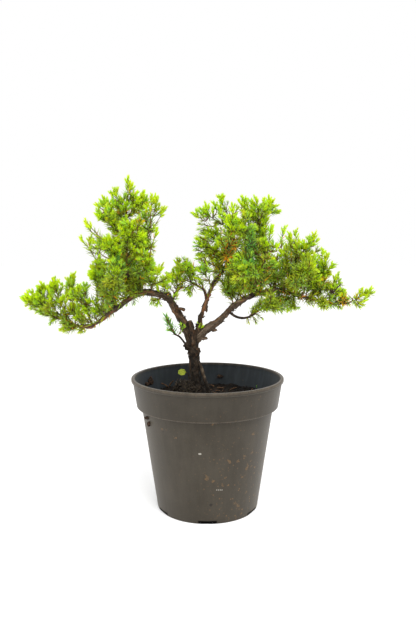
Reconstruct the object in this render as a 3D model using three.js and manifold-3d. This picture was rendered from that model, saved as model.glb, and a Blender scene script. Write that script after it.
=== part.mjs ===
// A small juniper bonsai growing in a round plastic nursery pot.
// Units are millimetres, +Z is up, and the origin is the middle of the pot's foot.

import * as THREE from 'three';
import { mergeVertices } from 'three/addons/utils/BufferGeometryUtils.js';
import Module from 'manifold-3d';

const wasm = await Module();
wasm.setup();

// Driving sizes of the pot
const POT_HEIGHT = 106.2;
const LIP_RADIUS = 61.3;
const LIP_HEIGHT = 3.0;
const LIP_ROUND = 0.5;
const COLLAR_TOP_RADIUS = 60.0;
const COLLAR_FOOT_RADIUS = 57.0;
const COLLAR_FOOT_HEIGHT = 83.6;
const BODY_TOP_RADIUS = 51.6;
const BODY_TOP_HEIGHT = 75.6;
const FOOT_RADIUS = 40.8;
const FOOT_BEVEL = 0.8;
const WALL = 1.4;
const FLOOR = 1.6;
const POT_SIDES = 36;
const NOTCH_COUNT = 6;
const NOTCH_WIDTH = 9;
const NOTCH_HEIGHT = 2.4;
const NOTCH_DEPTH = 7;

// Driving sizes of the soil
const GAP = 0.3;
const SOIL_LEVEL = 87.5;
const MOUND_HEIGHT = 6.5;
const MOUND_SPREAD = 21;
const MOUND_X = -8;
const SOIL_LUMP = 0.9;
const SOIL_SIDES = 24;
const SOIL_RINGS = [10, 20, 31, 43];
const SOIL_HOLE_SLACK = 0.4;
const SOIL_WALL_SLACK = 0.6;

// The plant is measured as an eye in front of it sees it: right and up on an upright pane
// that faces the eye through the pot's middle, and the depth behind that pane.
const EYE_DISTANCE = 499.2;
const EYE_TILT = THREE.MathUtils.degToRad(6.02);
const EYE_HEIGHT = 210.7;
const PANE_FOOT = 169.6;
const PANE_SHIFT = 0.4;

// How a spray leaves its limb and turns up to the light, as shares of its span
const LEAVE_WITH_LIMB = 0.5;
const LEAVE_SPAN = 0.3;
const ARRIVE_UPWARD = 0.4;
const ARRIVE_SPAN = 0.35;
const TIP_SHARE = 0.75;
const CURVE_STEPS = 8;
const SIDE_STATIONS = 12;
const SIDE_FORWARD = 0.35;
const FIRST_SIDE_SHOOT = 0.2;
const SIDE_SHOOT_STRETCH = 0.4;
const SIDE_SHOOT_TAPER = 0.25;
const SPRAY_TURN = 1.9;
const LONGEST_BARE_SHARE = 0.8;
const BARE_STEP = 0.5;

// Driving sizes of the foliage
const CORE_RADIUS = 0.8;
const STEM_RADII = [CORE_RADIUS, CORE_RADIUS];
const WHORL_STEP = 5.5;
const NEEDLE_LENGTH = 6.4;
const NEEDLE_REACH = 0.42;
const NEEDLE_TRIES = [1, 0.8, 0.62, 0.45];
const NEEDLES_APART = 0.5;
const NEEDLE_LEAN_LOW = THREE.MathUtils.degToRad(56);
const NEEDLE_LEAN_HIGH = THREE.MathUtils.degToRad(34);
const SIDE_SHOOT_LENGTH = 17;
const SIDE_LEAN = THREE.MathUtils.degToRad(44);
const GOLDEN_TURN = THREE.MathUtils.degToRad(137.5);
const SHORTEST_TWIG = 3.5;
const TWIG_SIDES = 3;
const TWIG_STEP = 14;
const TWIG_TIP_RADIUS = 0.8;
const TWIG_TAPER = 0.85;
const WIDEST_TWIG = 1.1;
const PATH_PIECES = 6;
const FINEST = 0.04;

// Limbs: radius at the start and the end, sides, and points as [right, up, depth]
const LIMBS = {
  trunk: {
    radii: [7.4, 5.9, 4.7, 4.2, 4.3, 4.6, 4.4, 3.4],
    sides: 12,
    points: [
      [-5, 84, 1], [-6.4, 102, 0], [-8.6, 112, 0], [-10.4, 121, 0],
      [-10.8, 131, 0], [-11.6, 140, 0], [-11.2, 147, 0], [-9.8, 152, 0],
    ],
  },
  left: {
    radii: [4.6, 4.2, 3.4, 3.0, 2.7, 2.4, 2.1, 1.8, 1.5, 1.2, 1.0],
    sides: 8,
    points: [
      [-11.4, 142, 0], [-17.6, 159, -1], [-24.8, 171.2, -4], [-31.2, 181.2, -8],
      [-41, 184.5, -11], [-52.8, 185.2, -12], [-63.2, 180, -14], [-77.6, 169.2, -15],
      [-92, 159.6, -10], [-108.3, 159.5, -4], [-121, 167, 0],
    ],
  },
  left_top: {
    radii: [2.2, 2.0, 1.8, 1.6, 1.3, 1.1],
    sides: 6,
    points: [
      [-53.5, 185, -12], [-60, 195.2, -10], [-64, 207.2, -8],
      [-66.4, 223, -6], [-66, 238, -5], [-65.4, 248, -4.5],
    ],
  },
  left_back: {
    radii: [1.5, 1.3, 1.1, 0.9],
    sides: 5,
    points: [[-62, 201, -9], [-66, 208, 2], [-71, 216, 13], [-75, 224, 20]],
  },
  left_front: {
    radii: [1.5, 1.3, 1.1, 0.9],
    sides: 5,
    points: [[-57, 190.4, -11], [-63, 197, -19], [-72, 205, -25], [-79, 213, -29]],
  },
  left_side: {
    radii: [1.5, 1.3, 1.1, 0.9],
    sides: 5,
    points: [[-65.4, 214, -7], [-57, 220, -3], [-50, 229, 1], [-46, 238, 3]],
  },
  left_out: {
    radii: [1.6, 1.4, 1.2, 0.9],
    sides: 5,
    points: [[-72.8, 173.6, -15], [-79, 182, -11], [-85, 192, -6], [-90, 203, -2]],
  },
  left_rear: {
    radii: [1.6, 1.4, 1.2, 0.9],
    sides: 5,
    points: [[-63, 180, -13.5], [-60, 187, -1], [-58, 195, 12], [-56, 205, 21]],
  },
  middle: {
    radii: [3.0, 2.1, 1.9, 1.8, 1.7, 1.6, 1.5, 1.3, 1.1],
    sides: 8,
    points: [
      [-8.4, 153, 0], [-6.8, 163.2, -3], [-2.4, 177.6, -5], [3.2, 191.2, -5],
      [11.2, 202.4, -3], [18.1, 212.4, -1], [20.2, 224.4, 1], [20, 236, 2], [18, 246, 2],
    ],
  },
  middle_back: {
    radii: [1.5, 1.3, 1.1, 0.9],
    sides: 5,
    points: [[11.2, 202.4, -2.6], [11, 209, 9], [13, 217, 19], [17, 226, 26]],
  },
  middle_front: {
    radii: [1.4, 1.2, 1.0, 0.9],
    sides: 5,
    points: [[18, 212, -1.4], [16, 217, -12], [17, 224, -20], [19, 231, -25]],
  },
  right: {
    radii: [4.2, 3.6, 3.1, 2.7, 2.4, 2.1, 1.9, 1.7, 1.5, 1.3, 1.0],
    sides: 8,
    points: [
      [-9.6, 147.5, 0], [-2.1, 155.2, -1], [10, 163.6, -2], [21, 174.8, -4],
      [35.2, 182.8, -4], [45.6, 185.4, -2], [57.6, 187.2, 0], [73.6, 182.4, 3],
      [90, 178.4, 5], [103, 176.4, 4], [112, 176.8, 2],
    ],
  },
  right_front: {
    radii: [1.6, 1.4, 1.2, 0.9],
    sides: 5,
    points: [[35.6, 183, -4.4], [37, 191, -13], [40, 200, -21], [45, 211, -26]],
  },
  right_up: {
    radii: [1.8, 1.5, 1.3, 1.0],
    sides: 5,
    points: [[40, 184.2, -3], [43, 198, 0], [44, 212, 1], [43, 227, 1]],
  },
  right_back: {
    radii: [1.7, 1.4, 1.2, 0.9],
    sides: 5,
    points: [[52, 186.4, -0.6], [54, 194, 11], [54, 203, 20], [53, 214, 28]],
  },
  right_out: {
    radii: [1.7, 1.4, 1.2, 0.9],
    sides: 5,
    points: [[64, 185.8, 1], [67, 196, -2], [69, 206, -4], [71, 216, -4]],
  },
  right_end: {
    radii: [1.5, 1.3, 1.1, 0.9],
    sides: 5,
    points: [[81, 180.4, 4], [85, 188, 7], [88, 196, 9], [90, 205, 9]],
  },
  twig_a: {
    radii: [1.3, 1.2, 1.0, 0.9],
    sides: 5,
    points: [[-1.2, 181, -5], [-3.6, 187.6, -6], [-9.6, 191.2, -5], [-13.6, 193.4, -3]],
  },
  twig_c: {
    radii: [1.2, 1.1, 0.9],
    sides: 5,
    points: [[-28.8, 178.4, -7], [-25.6, 185.4, -6], [-20.8, 189.8, -4]],
  },
  curved_twig: {
    radii: [1.3, 1.2, 1.1, 1.0, 0.9, 0.8],
    sides: 5,
    points: [
      [16.4, 170.4, -3.4], [21, 166.6, -5], [27.8, 164.8, -7],
      [34.4, 166.4, -9], [39.8, 170.4, -10], [44, 173.2, -11],
    ],
  },
  trunk_sprig: {
    radii: [1.3, 1.0, 0.9, 0.8],
    sides: 5,
    points: [[-12.4, 138, -1], [-17.6, 143.4, -6], [-22.6, 149.6, -9], [-26.4, 151.6, -11]],
  },
  dead_stub: {
    radii: [1.4, 1.2, 1.5],
    sides: 5,
    points: [[-24.6, 171.4, -5], [-22, 172.4, -8], [-18.8, 171.2, -9.5]],
  },
  dead_stem: {
    radii: [1.4, 2.0, 2.0, 2.2, 2.2],
    sides: 6,
    points: [[-7.6, 131, -2.6], [-5.4, 125, -4.6], [-3, 117, -6], [0, 108.4, -6.6], [2, 98, -5]],
  },
  root_left: {
    radii: [4.2, 3.4, 2.6, 1.6],
    sides: 7,
    points: [[-8.4, 109, -1], [-14.5, 106, -5], [-20, 101.5, -7], [-25, 95, -8]],
  },
  root_back: {
    radii: [3.8, 3.0, 1.8],
    sides: 6,
    points: [[-6.4, 106, 1], [-3, 104, 9], [1, 97, 15]],
  },
};

// Knots and torn bark on the wood: place, radius, and stretch along x, y and z
const KNOTS = [
  [[-15.6, 142, -2], 2.3, [1, 0.9, 1.3]],
  [[-8, 137.6, -2.4], 2.0, [0.9, 1, 1.2]],
  [[-14.8, 162, -4.2], 1.7, [1, 1, 1]],
  [[-1.8, 172.6, -5.6], 1.9, [1, 0.8, 1.4]],
  [[-3.6, 148.6, -1.6], 1.8, [1.5, 0.7, 0.8]],
  [[4.6, 155.2, -1.8], 1.6, [1.6, 0.7, 0.7]],
  [[-31.6, 180.6, -8], 3.3, [0.9, 0.8, 1.1]],
  [[-94.5, 158.2, -9], 2.4, [1.5, 0.8, 0.8]],
];

// Leafy sprays: limb, place along it, tip as [right, up, depth], leafy length, side shoots
const SPRAYS = [
  // Tall left head
  ['left_top', 1.0, [-64.3, 279, -4], 26, 3],
  ['left_top', 0.86, [-74.6, 270.1, -14], 25, 2],
  ['left_top', 0.9, [-50.4, 267.5, 6], 26, 3],
  ['left_side', 0.9, [-40.2, 261, -6], 24, 2],
  ['left_side', 0.55, [-34, 250, 18], 25, 2],
  ['left_top', 0.74, [-84.4, 261, 6], 26, 2],
  ['left_front', 1.0, [-89.9, 251.7, -20], 25, 2],
  ['left_out', 1.0, [-98.7, 243.2, 4], 26, 2],
  ['left_out', 0.62, [-103, 228, -8], 24, 2],
  ['left_front', 0.7, [-81, 230, -44], 22, 3],
  ['left_front', 0.35, [-64, 240, -38], 26, 2],
  ['left_side', 0.35, [-42.6, 238, -22], 25, 2],
  ['left_side', 0.15, [-39.6, 212, -2], 22, 2],
  ['left_out', 0.35, [-97, 203, -18], 21, 2],
  ['left_back', 1.0, [-74, 252, 30], 26, 2],
  ['left_back', 0.7, [-94, 228, 26], 24, 2],
  ['left_rear', 1.0, [-52, 238, 32], 26, 2],
  ['left_rear', 0.6, [-68, 214, 42], 22, 2],
  ['left_rear', 0.3, [-36, 208, 24], 22, 2],
  ['left_top', 0.08, [-46, 213, -38], 22, 2],
  ['left', 0.62, [-74, 204, -46], 22, 2],
  // Low left pad
  ['left', 1.0, [-148.6, 181.6, -2], 24, 2],
  ['left', 0.93, [-137, 191.5, 10], 24, 2],
  ['left', 0.89, [-125, 197.4, -10], 25, 2],
  ['left', 0.83, [-112.6, 198, 8], 24, 2],
  ['left', 0.77, [-99.6, 194, -18], 22, 2],
  ['left', 0.95, [-138, 166, -14], 18, 2],
  ['left', 0.84, [-119, 152.6, -22], 20, 2],
  ['left', 0.8, [-103, 154, 10], 18, 2],
  // Middle tufts
  ['twig_c', 1.0, [-24.8, 211.2, 4], 20, 2],
  ['twig_a', 1.0, [-15, 210, -12], 18, 2],
  ['middle', 0.38, [-5.4, 208, -18], 19, 2],
  ['left', 0.4, [-38, 206, -24], 20, 2],
  ['trunk_sprig', 1.0, [-34.2, 168.4, -13], 17, 2],
  // Right head
  ['middle', 0.86, [-7, 254.2, -2], 26, 2],
  ['middle', 0.94, [8.6, 264, -8], 25, 2],
  ['middle_front', 1.0, [19.4, 257, -30], 25, 2],
  ['right_up', 1.0, [27.2, 263.8, 2], 26, 3],
  ['right_up', 0.85, [38.6, 262.6, -12], 26, 2],
  ['right_back', 1.0, [49, 263, 18], 26, 2],
  ['right_up', 0.55, [58, 250, -4], 26, 2],
  ['right_front', 1.0, [51, 240, -40], 24, 2],
  ['right_out', 1.0, [70, 236, 6], 22, 2],
  ['right_out', 0.72, [84, 232, -14], 24, 2],
  ['right_end', 1.0, [92.6, 220.6, 22], 20, 2],
  ['right_end', 0.6, [101, 209, -2], 22, 2],
  ['middle', 0.62, [-9.6, 230, -12], 23, 2],
  ['middle_back', 0.8, [-3, 236, 32], 24, 2],
  ['middle_back', 1.0, [22, 250, 42], 24, 2],
  ['right_back', 0.6, [74, 228, 38], 24, 2],
  ['right_front', 0.5, [28, 208, -44], 21, 2],
  ['right', 0.72, [74, 206, -30], 22, 2],
  // Low right edge
  ['curved_twig', 0.9, [54, 177, -26], 19, 2],
  ['right', 0.82, [93, 169, -15], 19, 2],
  ['right', 0.93, [112.6, 194, 10], 19, 2],
  ['right', 1.0, [130, 188, -2], 20, 2],
];

// Weed growing at the foot of the trunk
const WEED_LEAF_CENTRE = [-20.8, 121.4, 2.6];
const WEED_STALK = [[-15, 106, 8], [-15.2, 116, 7.6], [-16, 120.4, 6], WEED_LEAF_CENTRE];
const WEED_STALK_RADIUS = 0.45;
const WEED_LEAF_SIZE = [2.5, 2.1];
const WEED_LEAF_THICKNESS = 0.6;
const WEED_LEAF_TILT = THREE.MathUtils.degToRad(62);

// Moves a point seen on the pane along its line of sight to its depth.
function seen([right, up, depth]) {
  const rise = up - PANE_FOOT;
  const ahead = EYE_DISTANCE * Math.cos(EYE_TILT) + rise * Math.sin(EYE_TILT);
  const climb = rise * Math.cos(EYE_TILT) - EYE_DISTANCE * Math.sin(EYE_TILT);
  const stretch = (depth + EYE_DISTANCE * Math.cos(EYE_TILT)) / ahead;
  return new THREE.Vector3(PANE_SHIFT + right * stretch, depth, EYE_HEIGHT + climb * stretch);
}

// Manifold-3d solid of a closed geometry.
function solid(geometry) {
  geometry.deleteAttribute('normal');
  geometry.deleteAttribute('uv');
  const merged = mergeVertices(geometry, 1e-4);
  return new wasm.Manifold(new wasm.Mesh({
    numProp: 3,
    vertProperties: merged.attributes.position.array,
    triVerts: new Uint32Array(merged.index.array),
  }));
}

// Geometry of a manifold-3d solid.
function geometryOf(body) {
  const mesh = body.getMesh();
  const geometry = new THREE.BufferGeometry();
  geometry.setAttribute('position', new THREE.BufferAttribute(mesh.vertProperties, 3));
  geometry.setIndex(new THREE.BufferAttribute(mesh.triVerts, 1));
  geometry.computeVertexNormals();
  return geometry;
}

// Indexed geometry of corner points and triangles.
function geometryFrom(vertices, faces) {
  const geometry = new THREE.BufferGeometry();
  const positions = vertices.flatMap((v) => [v.x, v.y, v.z]);
  geometry.setAttribute('position', new THREE.Float32BufferAttribute(positions, 3));
  geometry.setIndex(faces.flat());
  return geometry;
}

// Even rings along a curve, each with its centre, axis and two cross directions that never twist.
function framesAlong(curve, steps) {
  const frames = [];
  let side = null;
  for (let i = 0; i <= steps; i += 1) {
    const centre = curve.getPointAt(i / steps);
    const axis = curve.getTangentAt(i / steps);
    if (side === null) {
      side = Math.abs(axis.z) < 0.9 ? new THREE.Vector3(0, 0, 1) : new THREE.Vector3(1, 0, 0);
    }
    side = side.clone().addScaledVector(axis, -side.dot(axis)).normalize();
    const cross = new THREE.Vector3().crossVectors(axis, side);
    frames.push({ centre, axis, side, cross });
  }
  return frames;
}

// Point at a radius and an angle round a frame.
function ringPoint(frame, radius, angle) {
  return frame.centre.clone()
    .addScaledVector(frame.side, radius * Math.cos(angle))
    .addScaledVector(frame.cross, radius * Math.sin(angle));
}

// Radius at a share of a limb's length, from the radii at its even stations.
function radiusAt(radii, share) {
  const along = share * (radii.length - 1);
  const low = Math.min(Math.floor(along), radii.length - 2);
  return THREE.MathUtils.lerp(radii[low], radii[low + 1], along - low);
}

// A tapering round limb with closed ends, which can run on past them.
function limbGeometry(curve, radii, sides, steps, overrun = 0) {
  const frames = framesAlong(curve, steps);
  frames[0].centre.addScaledVector(frames[0].axis, -overrun);
  frames[steps].centre.addScaledVector(frames[steps].axis, overrun);
  const vertices = [];
  const faces = [];
  frames.forEach((frame, ring) => {
    const radius = radiusAt(radii, ring / steps);
    for (let side = 0; side < sides; side += 1) {
      vertices.push(ringPoint(frame, radius, (2 * Math.PI * side) / sides));
    }
  });
  for (let ring = 0; ring < steps; ring += 1) {
    for (let side = 0; side < sides; side += 1) {
      const next = (side + 1) % sides;
      const [a, b] = [ring * sides + side, ring * sides + next];
      faces.push([a, b, b + sides], [a, b + sides, a + sides]);
    }
  }
  for (let side = 1; side < sides - 1; side += 1) {
    faces.push([0, side + 1, side]);
    faces.push([steps * sides, steps * sides + side, steps * sides + side + 1]);
  }
  return geometryFrom(vertices, faces);
}

// Straight pieces of a path, for keeping other parts clear of it.
function piecesAlong(curve, steps, radii, owner, shoot) {
  const points = curve.getSpacedPoints(steps);
  return points.slice(1).map((end, i) => {
    const radius = Math.max(radiusAt(radii, i / steps), radiusAt(radii, (i + 1) / steps));
    return { start: points[i], end, radius, owner, shoot };
  });
}

// Shortest distance between two straight pieces.
function pieceDistance(a, b) {
  const u = new THREE.Vector3().subVectors(a.end, a.start);
  const v = new THREE.Vector3().subVectors(b.end, b.start);
  const w = new THREE.Vector3().subVectors(a.start, b.start);
  const [uu, uv, vv] = [u.dot(u), u.dot(v), v.dot(v)];
  const [uw, vw] = [u.dot(w), v.dot(w)];
  const square = uu * vv - uv * uv;
  let s = square > 1e-9 ? THREE.MathUtils.clamp((uv * vw - vv * uw) / square, 0, 1) : 0;
  const t = THREE.MathUtils.clamp((uv * s + vw) / vv, 0, 1);
  s = THREE.MathUtils.clamp((uv * t - uw) / uu, 0, 1);
  return w.addScaledVector(u, s).addScaledVector(v, -t).length();
}

// Whether a piece is clear of all others: by the gap where they belong to another node.
function isClear(piece, others) {
  const middle = new THREE.Vector3().addVectors(piece.start, piece.end).multiplyScalar(0.5);
  const reach = piece.start.distanceTo(piece.end) / 2;
  return others.every((other) => {
    const same = other.owner === piece.owner;
    if (same && other.shoot === piece.shoot) return true;
    const room = piece.radius + other.radius + (same ? 0 : GAP);
    const away = middle.distanceTo(other.start) - other.start.distanceTo(other.end);
    if (away > room + reach) return true;
    return pieceDistance(piece, other) > room;
  });
}

// Path of one spray, from its limb to its tip: it leaves along the limb and turns up to the light.
function sprayCurve(limbCurve, along, tip) {
  const root = limbCurve.getPointAt(along);
  const target = seen(tip);
  const span = root.distanceTo(target);
  const limbAxis = limbCurve.getTangentAt(along);
  const chord = new THREE.Vector3().subVectors(target, root).normalize();
  const leave = chord.clone().addScaledVector(limbAxis, LEAVE_WITH_LIMB).normalize();
  const lift = new THREE.Vector3(0, 0, chord.z > 0 ? ARRIVE_UPWARD : 0);
  const arrive = chord.clone().add(lift).normalize();
  return new THREE.CubicBezierCurve3(
    root,
    root.clone().addScaledVector(leave, span * LEAVE_SPAN),
    target.clone().addScaledVector(arrive, -span * ARRIVE_SPAN),
    target.clone().addScaledVector(arrive, -NEEDLE_LENGTH * TIP_SHARE),
  );
}

// The stretch of a curve between two shares of its length.
function stretchOf(curve, from, to) {
  const points = [];
  for (let i = 0; i <= CURVE_STEPS; i += 1) {
    points.push(curve.getPointAt(from + ((to - from) * i) / CURVE_STEPS));
  }
  return new THREE.CatmullRomCurve3(points);
}

// Path of a side shoot: it leans out of its stem and bends forward.
function sideCurve(stem, along, turn, length) {
  const frame = framesAlong(stem, SIDE_STATIONS)[Math.round(along * SIDE_STATIONS)];
  const outward = frame.side.clone().multiplyScalar(Math.cos(turn));
  outward.addScaledVector(frame.cross, Math.sin(turn));
  const leave = frame.axis.clone().multiplyScalar(Math.cos(SIDE_LEAN));
  leave.addScaledVector(outward, Math.sin(SIDE_LEAN));
  const forward = leave.clone().addScaledVector(frame.axis, SIDE_FORWARD).normalize();
  const middle = frame.centre.clone().addScaledVector(leave, length / 2);
  const end = middle.clone().addScaledVector(forward, length / 2);
  return new THREE.QuadraticBezierCurve3(frame.centre, middle, end);
}

// A slim three-sided stem, each facet of which is raised to the tip of one needle.
function shootGeometry(curve, bareWhorls, owner, shoot, obstacles) {
  const whorls = Math.max(2, Math.round(curve.getLength() / WHORL_STEP));
  const frames = framesAlong(curve, whorls);
  const vertices = [];
  const faces = [];
  const points = [];
  const third = (2 * Math.PI) / 3;
  frames.forEach((frame, ring) => {
    const radius = CORE_RADIUS * (ring === whorls ? 0.7 : 1);
    for (let side = 0; side < 3; side += 1) {
      vertices.push(ringPoint(frame, radius, ring * (third / 2) + side * third));
    }
  });
  const raise = (facet, centre, axis, lean) => {
    const corners = facet.map((index) => vertices[index]);
    const base = corners[0].clone().add(corners[1]).add(corners[2]).divideScalar(3);
    const radial = base.clone().sub(centre);
    radial.addScaledVector(axis, -radial.dot(axis)).normalize();
    for (const share of NEEDLE_TRIES) {
      const length = NEEDLE_LENGTH * share;
      const tip = base.clone().addScaledVector(axis, length * Math.cos(lean));
      tip.addScaledVector(radial, length * Math.sin(lean));
      const edges = [corners[0], corners[2]].map((start) => (
        { start, end: tip, radius: NEEDLE_REACH, owner, shoot }));
      const point = { start: base.clone().lerp(tip, 0.5), end: tip };
      const apart = points.every((other) => pieceDistance(point, other) > NEEDLES_APART);
      if (apart && edges.every((edge) => isClear(edge, obstacles))) {
        obstacles.push(...edges);
        points.push(point);
        const top = vertices.push(tip) - 1;
        facet.forEach((index, i) => faces.push([index, facet[(i + 1) % 3], top]));
        return;
      }
    }
    faces.push(facet);
  };
  for (let ring = 0; ring < whorls; ring += 1) {
    const bare = ring < bareWhorls;
    const lean = THREE.MathUtils.lerp(NEEDLE_LEAN_LOW, NEEDLE_LEAN_HIGH, ring / whorls);
    const [below, above] = [frames[ring], frames[ring + 1]];
    const centre = below.centre.clone().lerp(above.centre, 0.5);
    const axis = below.axis.clone().add(above.axis).normalize();
    for (let side = 0; side < 3; side += 1) {
      const [a, b] = [ring * 3 + side, ring * 3 + ((side + 1) % 3)];
      const pair = [[a, b, a + 3], [b, b + 3, a + 3]];
      pair.forEach((facet) => {
        if (bare) faces.push(facet);
        else raise(facet, centre, axis, lean);
      });
    }
  }
  faces.push([0, 2, 1]);
  const last = whorls * 3;
  raise([last, last + 1, last + 2], frames[whorls].centre, frames[whorls].axis, 0);
  return geometryFrom(vertices, faces);
}

function potMaterial() {
  return new THREE.MeshStandardMaterial({ color: 0x4c4843, roughness: 0.5, metalness: 0 });
}

function soilMaterial() {
  return new THREE.MeshStandardMaterial({ color: 0x3a2a20, roughness: 0.95, metalness: 0 });
}

function barkMaterial() {
  return new THREE.MeshStandardMaterial({ color: 0x5f4c3c, roughness: 0.9, metalness: 0 });
}

function needleMaterial() {
  return new THREE.MeshStandardMaterial({ color: 0x6f8a1e, roughness: 0.55, metalness: 0 });
}

function weedMaterial() {
  return new THREE.MeshStandardMaterial({ color: 0x9aa33a, roughness: 0.5, metalness: 0 });
}

const bonsai = new THREE.Group();

function addMesh(name, geometry, material) {
  const mesh = new THREE.Mesh(geometry, material);
  mesh.name = name;
  bonsai.add(mesh);
}

// Inner radius of the pot's wall at a height.
function innerRadius(height) {
  const stations = [
    [0, FOOT_RADIUS], [BODY_TOP_HEIGHT, BODY_TOP_RADIUS],
    [COLLAR_FOOT_HEIGHT, COLLAR_FOOT_RADIUS], [POT_HEIGHT - LIP_HEIGHT, COLLAR_TOP_RADIUS],
  ];
  const top = stations.findIndex(([level]) => level >= height);
  const [[z0, r0], [z1, r1]] = [stations[Math.max(top - 1, 0)], stations[Math.max(top, 1)]];
  return THREE.MathUtils.mapLinear(height, z0, z1, r0, r1) - WALL;
}

// Nursery pot: tapering body, flared collar, rolled lip and drain notches round the foot.
function makePot() {
  const collarTop = POT_HEIGHT - LIP_HEIGHT;
  const outside = [
    [0, 0], [FOOT_RADIUS - FOOT_BEVEL, 0], [FOOT_RADIUS, FOOT_BEVEL],
    [BODY_TOP_RADIUS, BODY_TOP_HEIGHT], [COLLAR_FOOT_RADIUS, COLLAR_FOOT_HEIGHT],
    [COLLAR_TOP_RADIUS, collarTop], [LIP_RADIUS - LIP_ROUND / 2, collarTop + LIP_ROUND],
    [LIP_RADIUS, POT_HEIGHT - LIP_HEIGHT / 2], [LIP_RADIUS - LIP_ROUND, POT_HEIGHT],
  ];
  const inside = [POT_HEIGHT, collarTop, COLLAR_FOOT_HEIGHT, BODY_TOP_HEIGHT, FLOOR]
    .map((height) => [innerRadius(Math.min(height, collarTop)), height]);
  const profile = [...outside, ...inside, [0, FLOOR]];
  const points = profile.map(([radius, height]) => new THREE.Vector2(radius, height));
  let pot = solid(new THREE.LatheGeometry(points, POT_SIDES).rotateX(Math.PI / 2));
  for (let i = 0; i < NOTCH_COUNT; i += 1) {
    const angle = (2 * Math.PI * i) / NOTCH_COUNT - Math.PI / 2;
    const notch = new THREE.BoxGeometry(NOTCH_DEPTH * 2, NOTCH_WIDTH, NOTCH_HEIGHT * 2);
    notch.translate(FOOT_RADIUS, 0, 0);
    notch.rotateZ(angle);
    pot = pot.subtract(solid(notch));
  }
  return pot;
}

// Height of the soil at a place: level at the wall, mounded round the trunk, and lumpy.
function soilHeight(x, y) {
  const spread = ((x - MOUND_X) ** 2 + y ** 2) / MOUND_SPREAD ** 2;
  const lumps = Math.sin(x * 0.31 + 1.3) * Math.cos(y * 0.27) + 0.6 * Math.sin(x * 0.13 - y * 0.41);
  return SOIL_LEVEL + MOUND_HEIGHT * Math.exp(-spread) + SOIL_LUMP * lumps;
}

function makeSoil() {
  const vertices = [new THREE.Vector3(0, 0, FLOOR + GAP)];
  const faces = [];
  const addRing = (radius, heightAt) => {
    for (let i = 0; i < SOIL_SIDES; i += 1) {
      const angle = (2 * Math.PI * i) / SOIL_SIDES;
      const [x, y] = [radius * Math.cos(angle), radius * Math.sin(angle)];
      vertices.push(new THREE.Vector3(x, y, heightAt(x, y)));
    }
  };
  for (const height of [FLOOR + GAP, BODY_TOP_HEIGHT, COLLAR_FOOT_HEIGHT]) {
    addRing(innerRadius(height) - SOIL_WALL_SLACK, () => height);
  }
  const edge = innerRadius(SOIL_LEVEL - 1) - SOIL_WALL_SLACK;
  addRing(edge, (x, y) => Math.min(soilHeight(x, y), SOIL_LEVEL + 1));
  SOIL_RINGS.slice().reverse().forEach((radius) => addRing(radius, soilHeight));
  const rings = 4 + SOIL_RINGS.length;
  for (let i = 0; i < SOIL_SIDES; i += 1) {
    const next = (i + 1) % SOIL_SIDES;
    faces.push([0, 1 + next, 1 + i]);
    for (let ring = 0; ring < rings - 1; ring += 1) {
      const [a, b] = [1 + ring * SOIL_SIDES + i, 1 + ring * SOIL_SIDES + next];
      faces.push([a, b, b + SOIL_SIDES], [a, b + SOIL_SIDES, a + SOIL_SIDES]);
    }
    const inner = 1 + (rings - 1) * SOIL_SIDES;
    faces.push([inner + i, inner + next, vertices.length]);
  }
  vertices.push(new THREE.Vector3(0, 0, soilHeight(0, 0)));
  return solid(geometryFrom(vertices, faces));
}

const limbCurves = {};
for (const [name, limb] of Object.entries(LIMBS)) {
  limbCurves[name] = new THREE.CatmullRomCurve3(limb.points.map(seen));
}

const stalkCurve = new THREE.CatmullRomCurve3(WEED_STALK.map(seen));

// Wood and stems are laid out first, so that needles are raised clear of them.
const obstacles = [];
for (const [name, limb] of Object.entries(LIMBS)) {
  obstacles.push(...piecesAlong(limbCurves[name], limb.radii.length * 2, limb.radii, 'wood', 0));
}

// Every spray's path, cut into its bare twig and its leafy stem, which begins clear of the limbs.
const sprays = SPRAYS.map(([limbName, along, tip, leafy, sideShoots], index) => {
  const owner = `spray_${String(index + 1).padStart(2, '0')}`;
  const curve = sprayCurve(limbCurves[limbName], along, tip);
  const length = curve.getLength();
  const stemFrom = (share) => stretchOf(curve, share + GAP / length, 1);
  const stemPieces = (share) => piecesAlong(stemFrom(share), PATH_PIECES, STEM_RADII, owner, 0);
  const clearFrom = (share) => stemPieces(share).every((piece) => isClear(piece, obstacles));
  let bare = Math.max(1 - leafy / length, SHORTEST_TWIG / length);
  while (bare < LONGEST_BARE_SHARE && !clearFrom(bare)) bare += BARE_STEP / length;
  const limbRadius = radiusAt(LIMBS[limbName].radii, along);
  return {
    owner,
    twig: stretchOf(curve, 0, bare),
    stem: stemFrom(bare),
    sideShoots,
    twigRadius: Math.min(limbRadius * TWIG_TAPER, WIDEST_TWIG),
    turn: index * SPRAY_TURN,
  };
});

// Wood: trunk, limbs, twigs, roots and knots grown together.
function makeWood() {
  let wood = null;
  const join = (geometry) => {
    const piece = solid(geometry);
    wood = wood === null ? piece : wood.add(piece);
  };
  for (const [name, limb] of Object.entries(LIMBS)) {
    join(limbGeometry(limbCurves[name], limb.radii, limb.sides, limb.radii.length - 1));
  }
  sprays.forEach((spray) => {
    const steps = Math.max(1, Math.round(spray.twig.getLength() / TWIG_STEP));
    join(limbGeometry(spray.twig, [spray.twigRadius, TWIG_TIP_RADIUS], TWIG_SIDES, steps));
  });
  KNOTS.forEach(([place, radius, stretch]) => {
    const knot = new THREE.IcosahedronGeometry(radius, 0);
    knot.scale(...stretch);
    knot.translate(...seen(place).toArray());
    join(knot);
  });
  return wood.simplify(FINEST);
}

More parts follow.
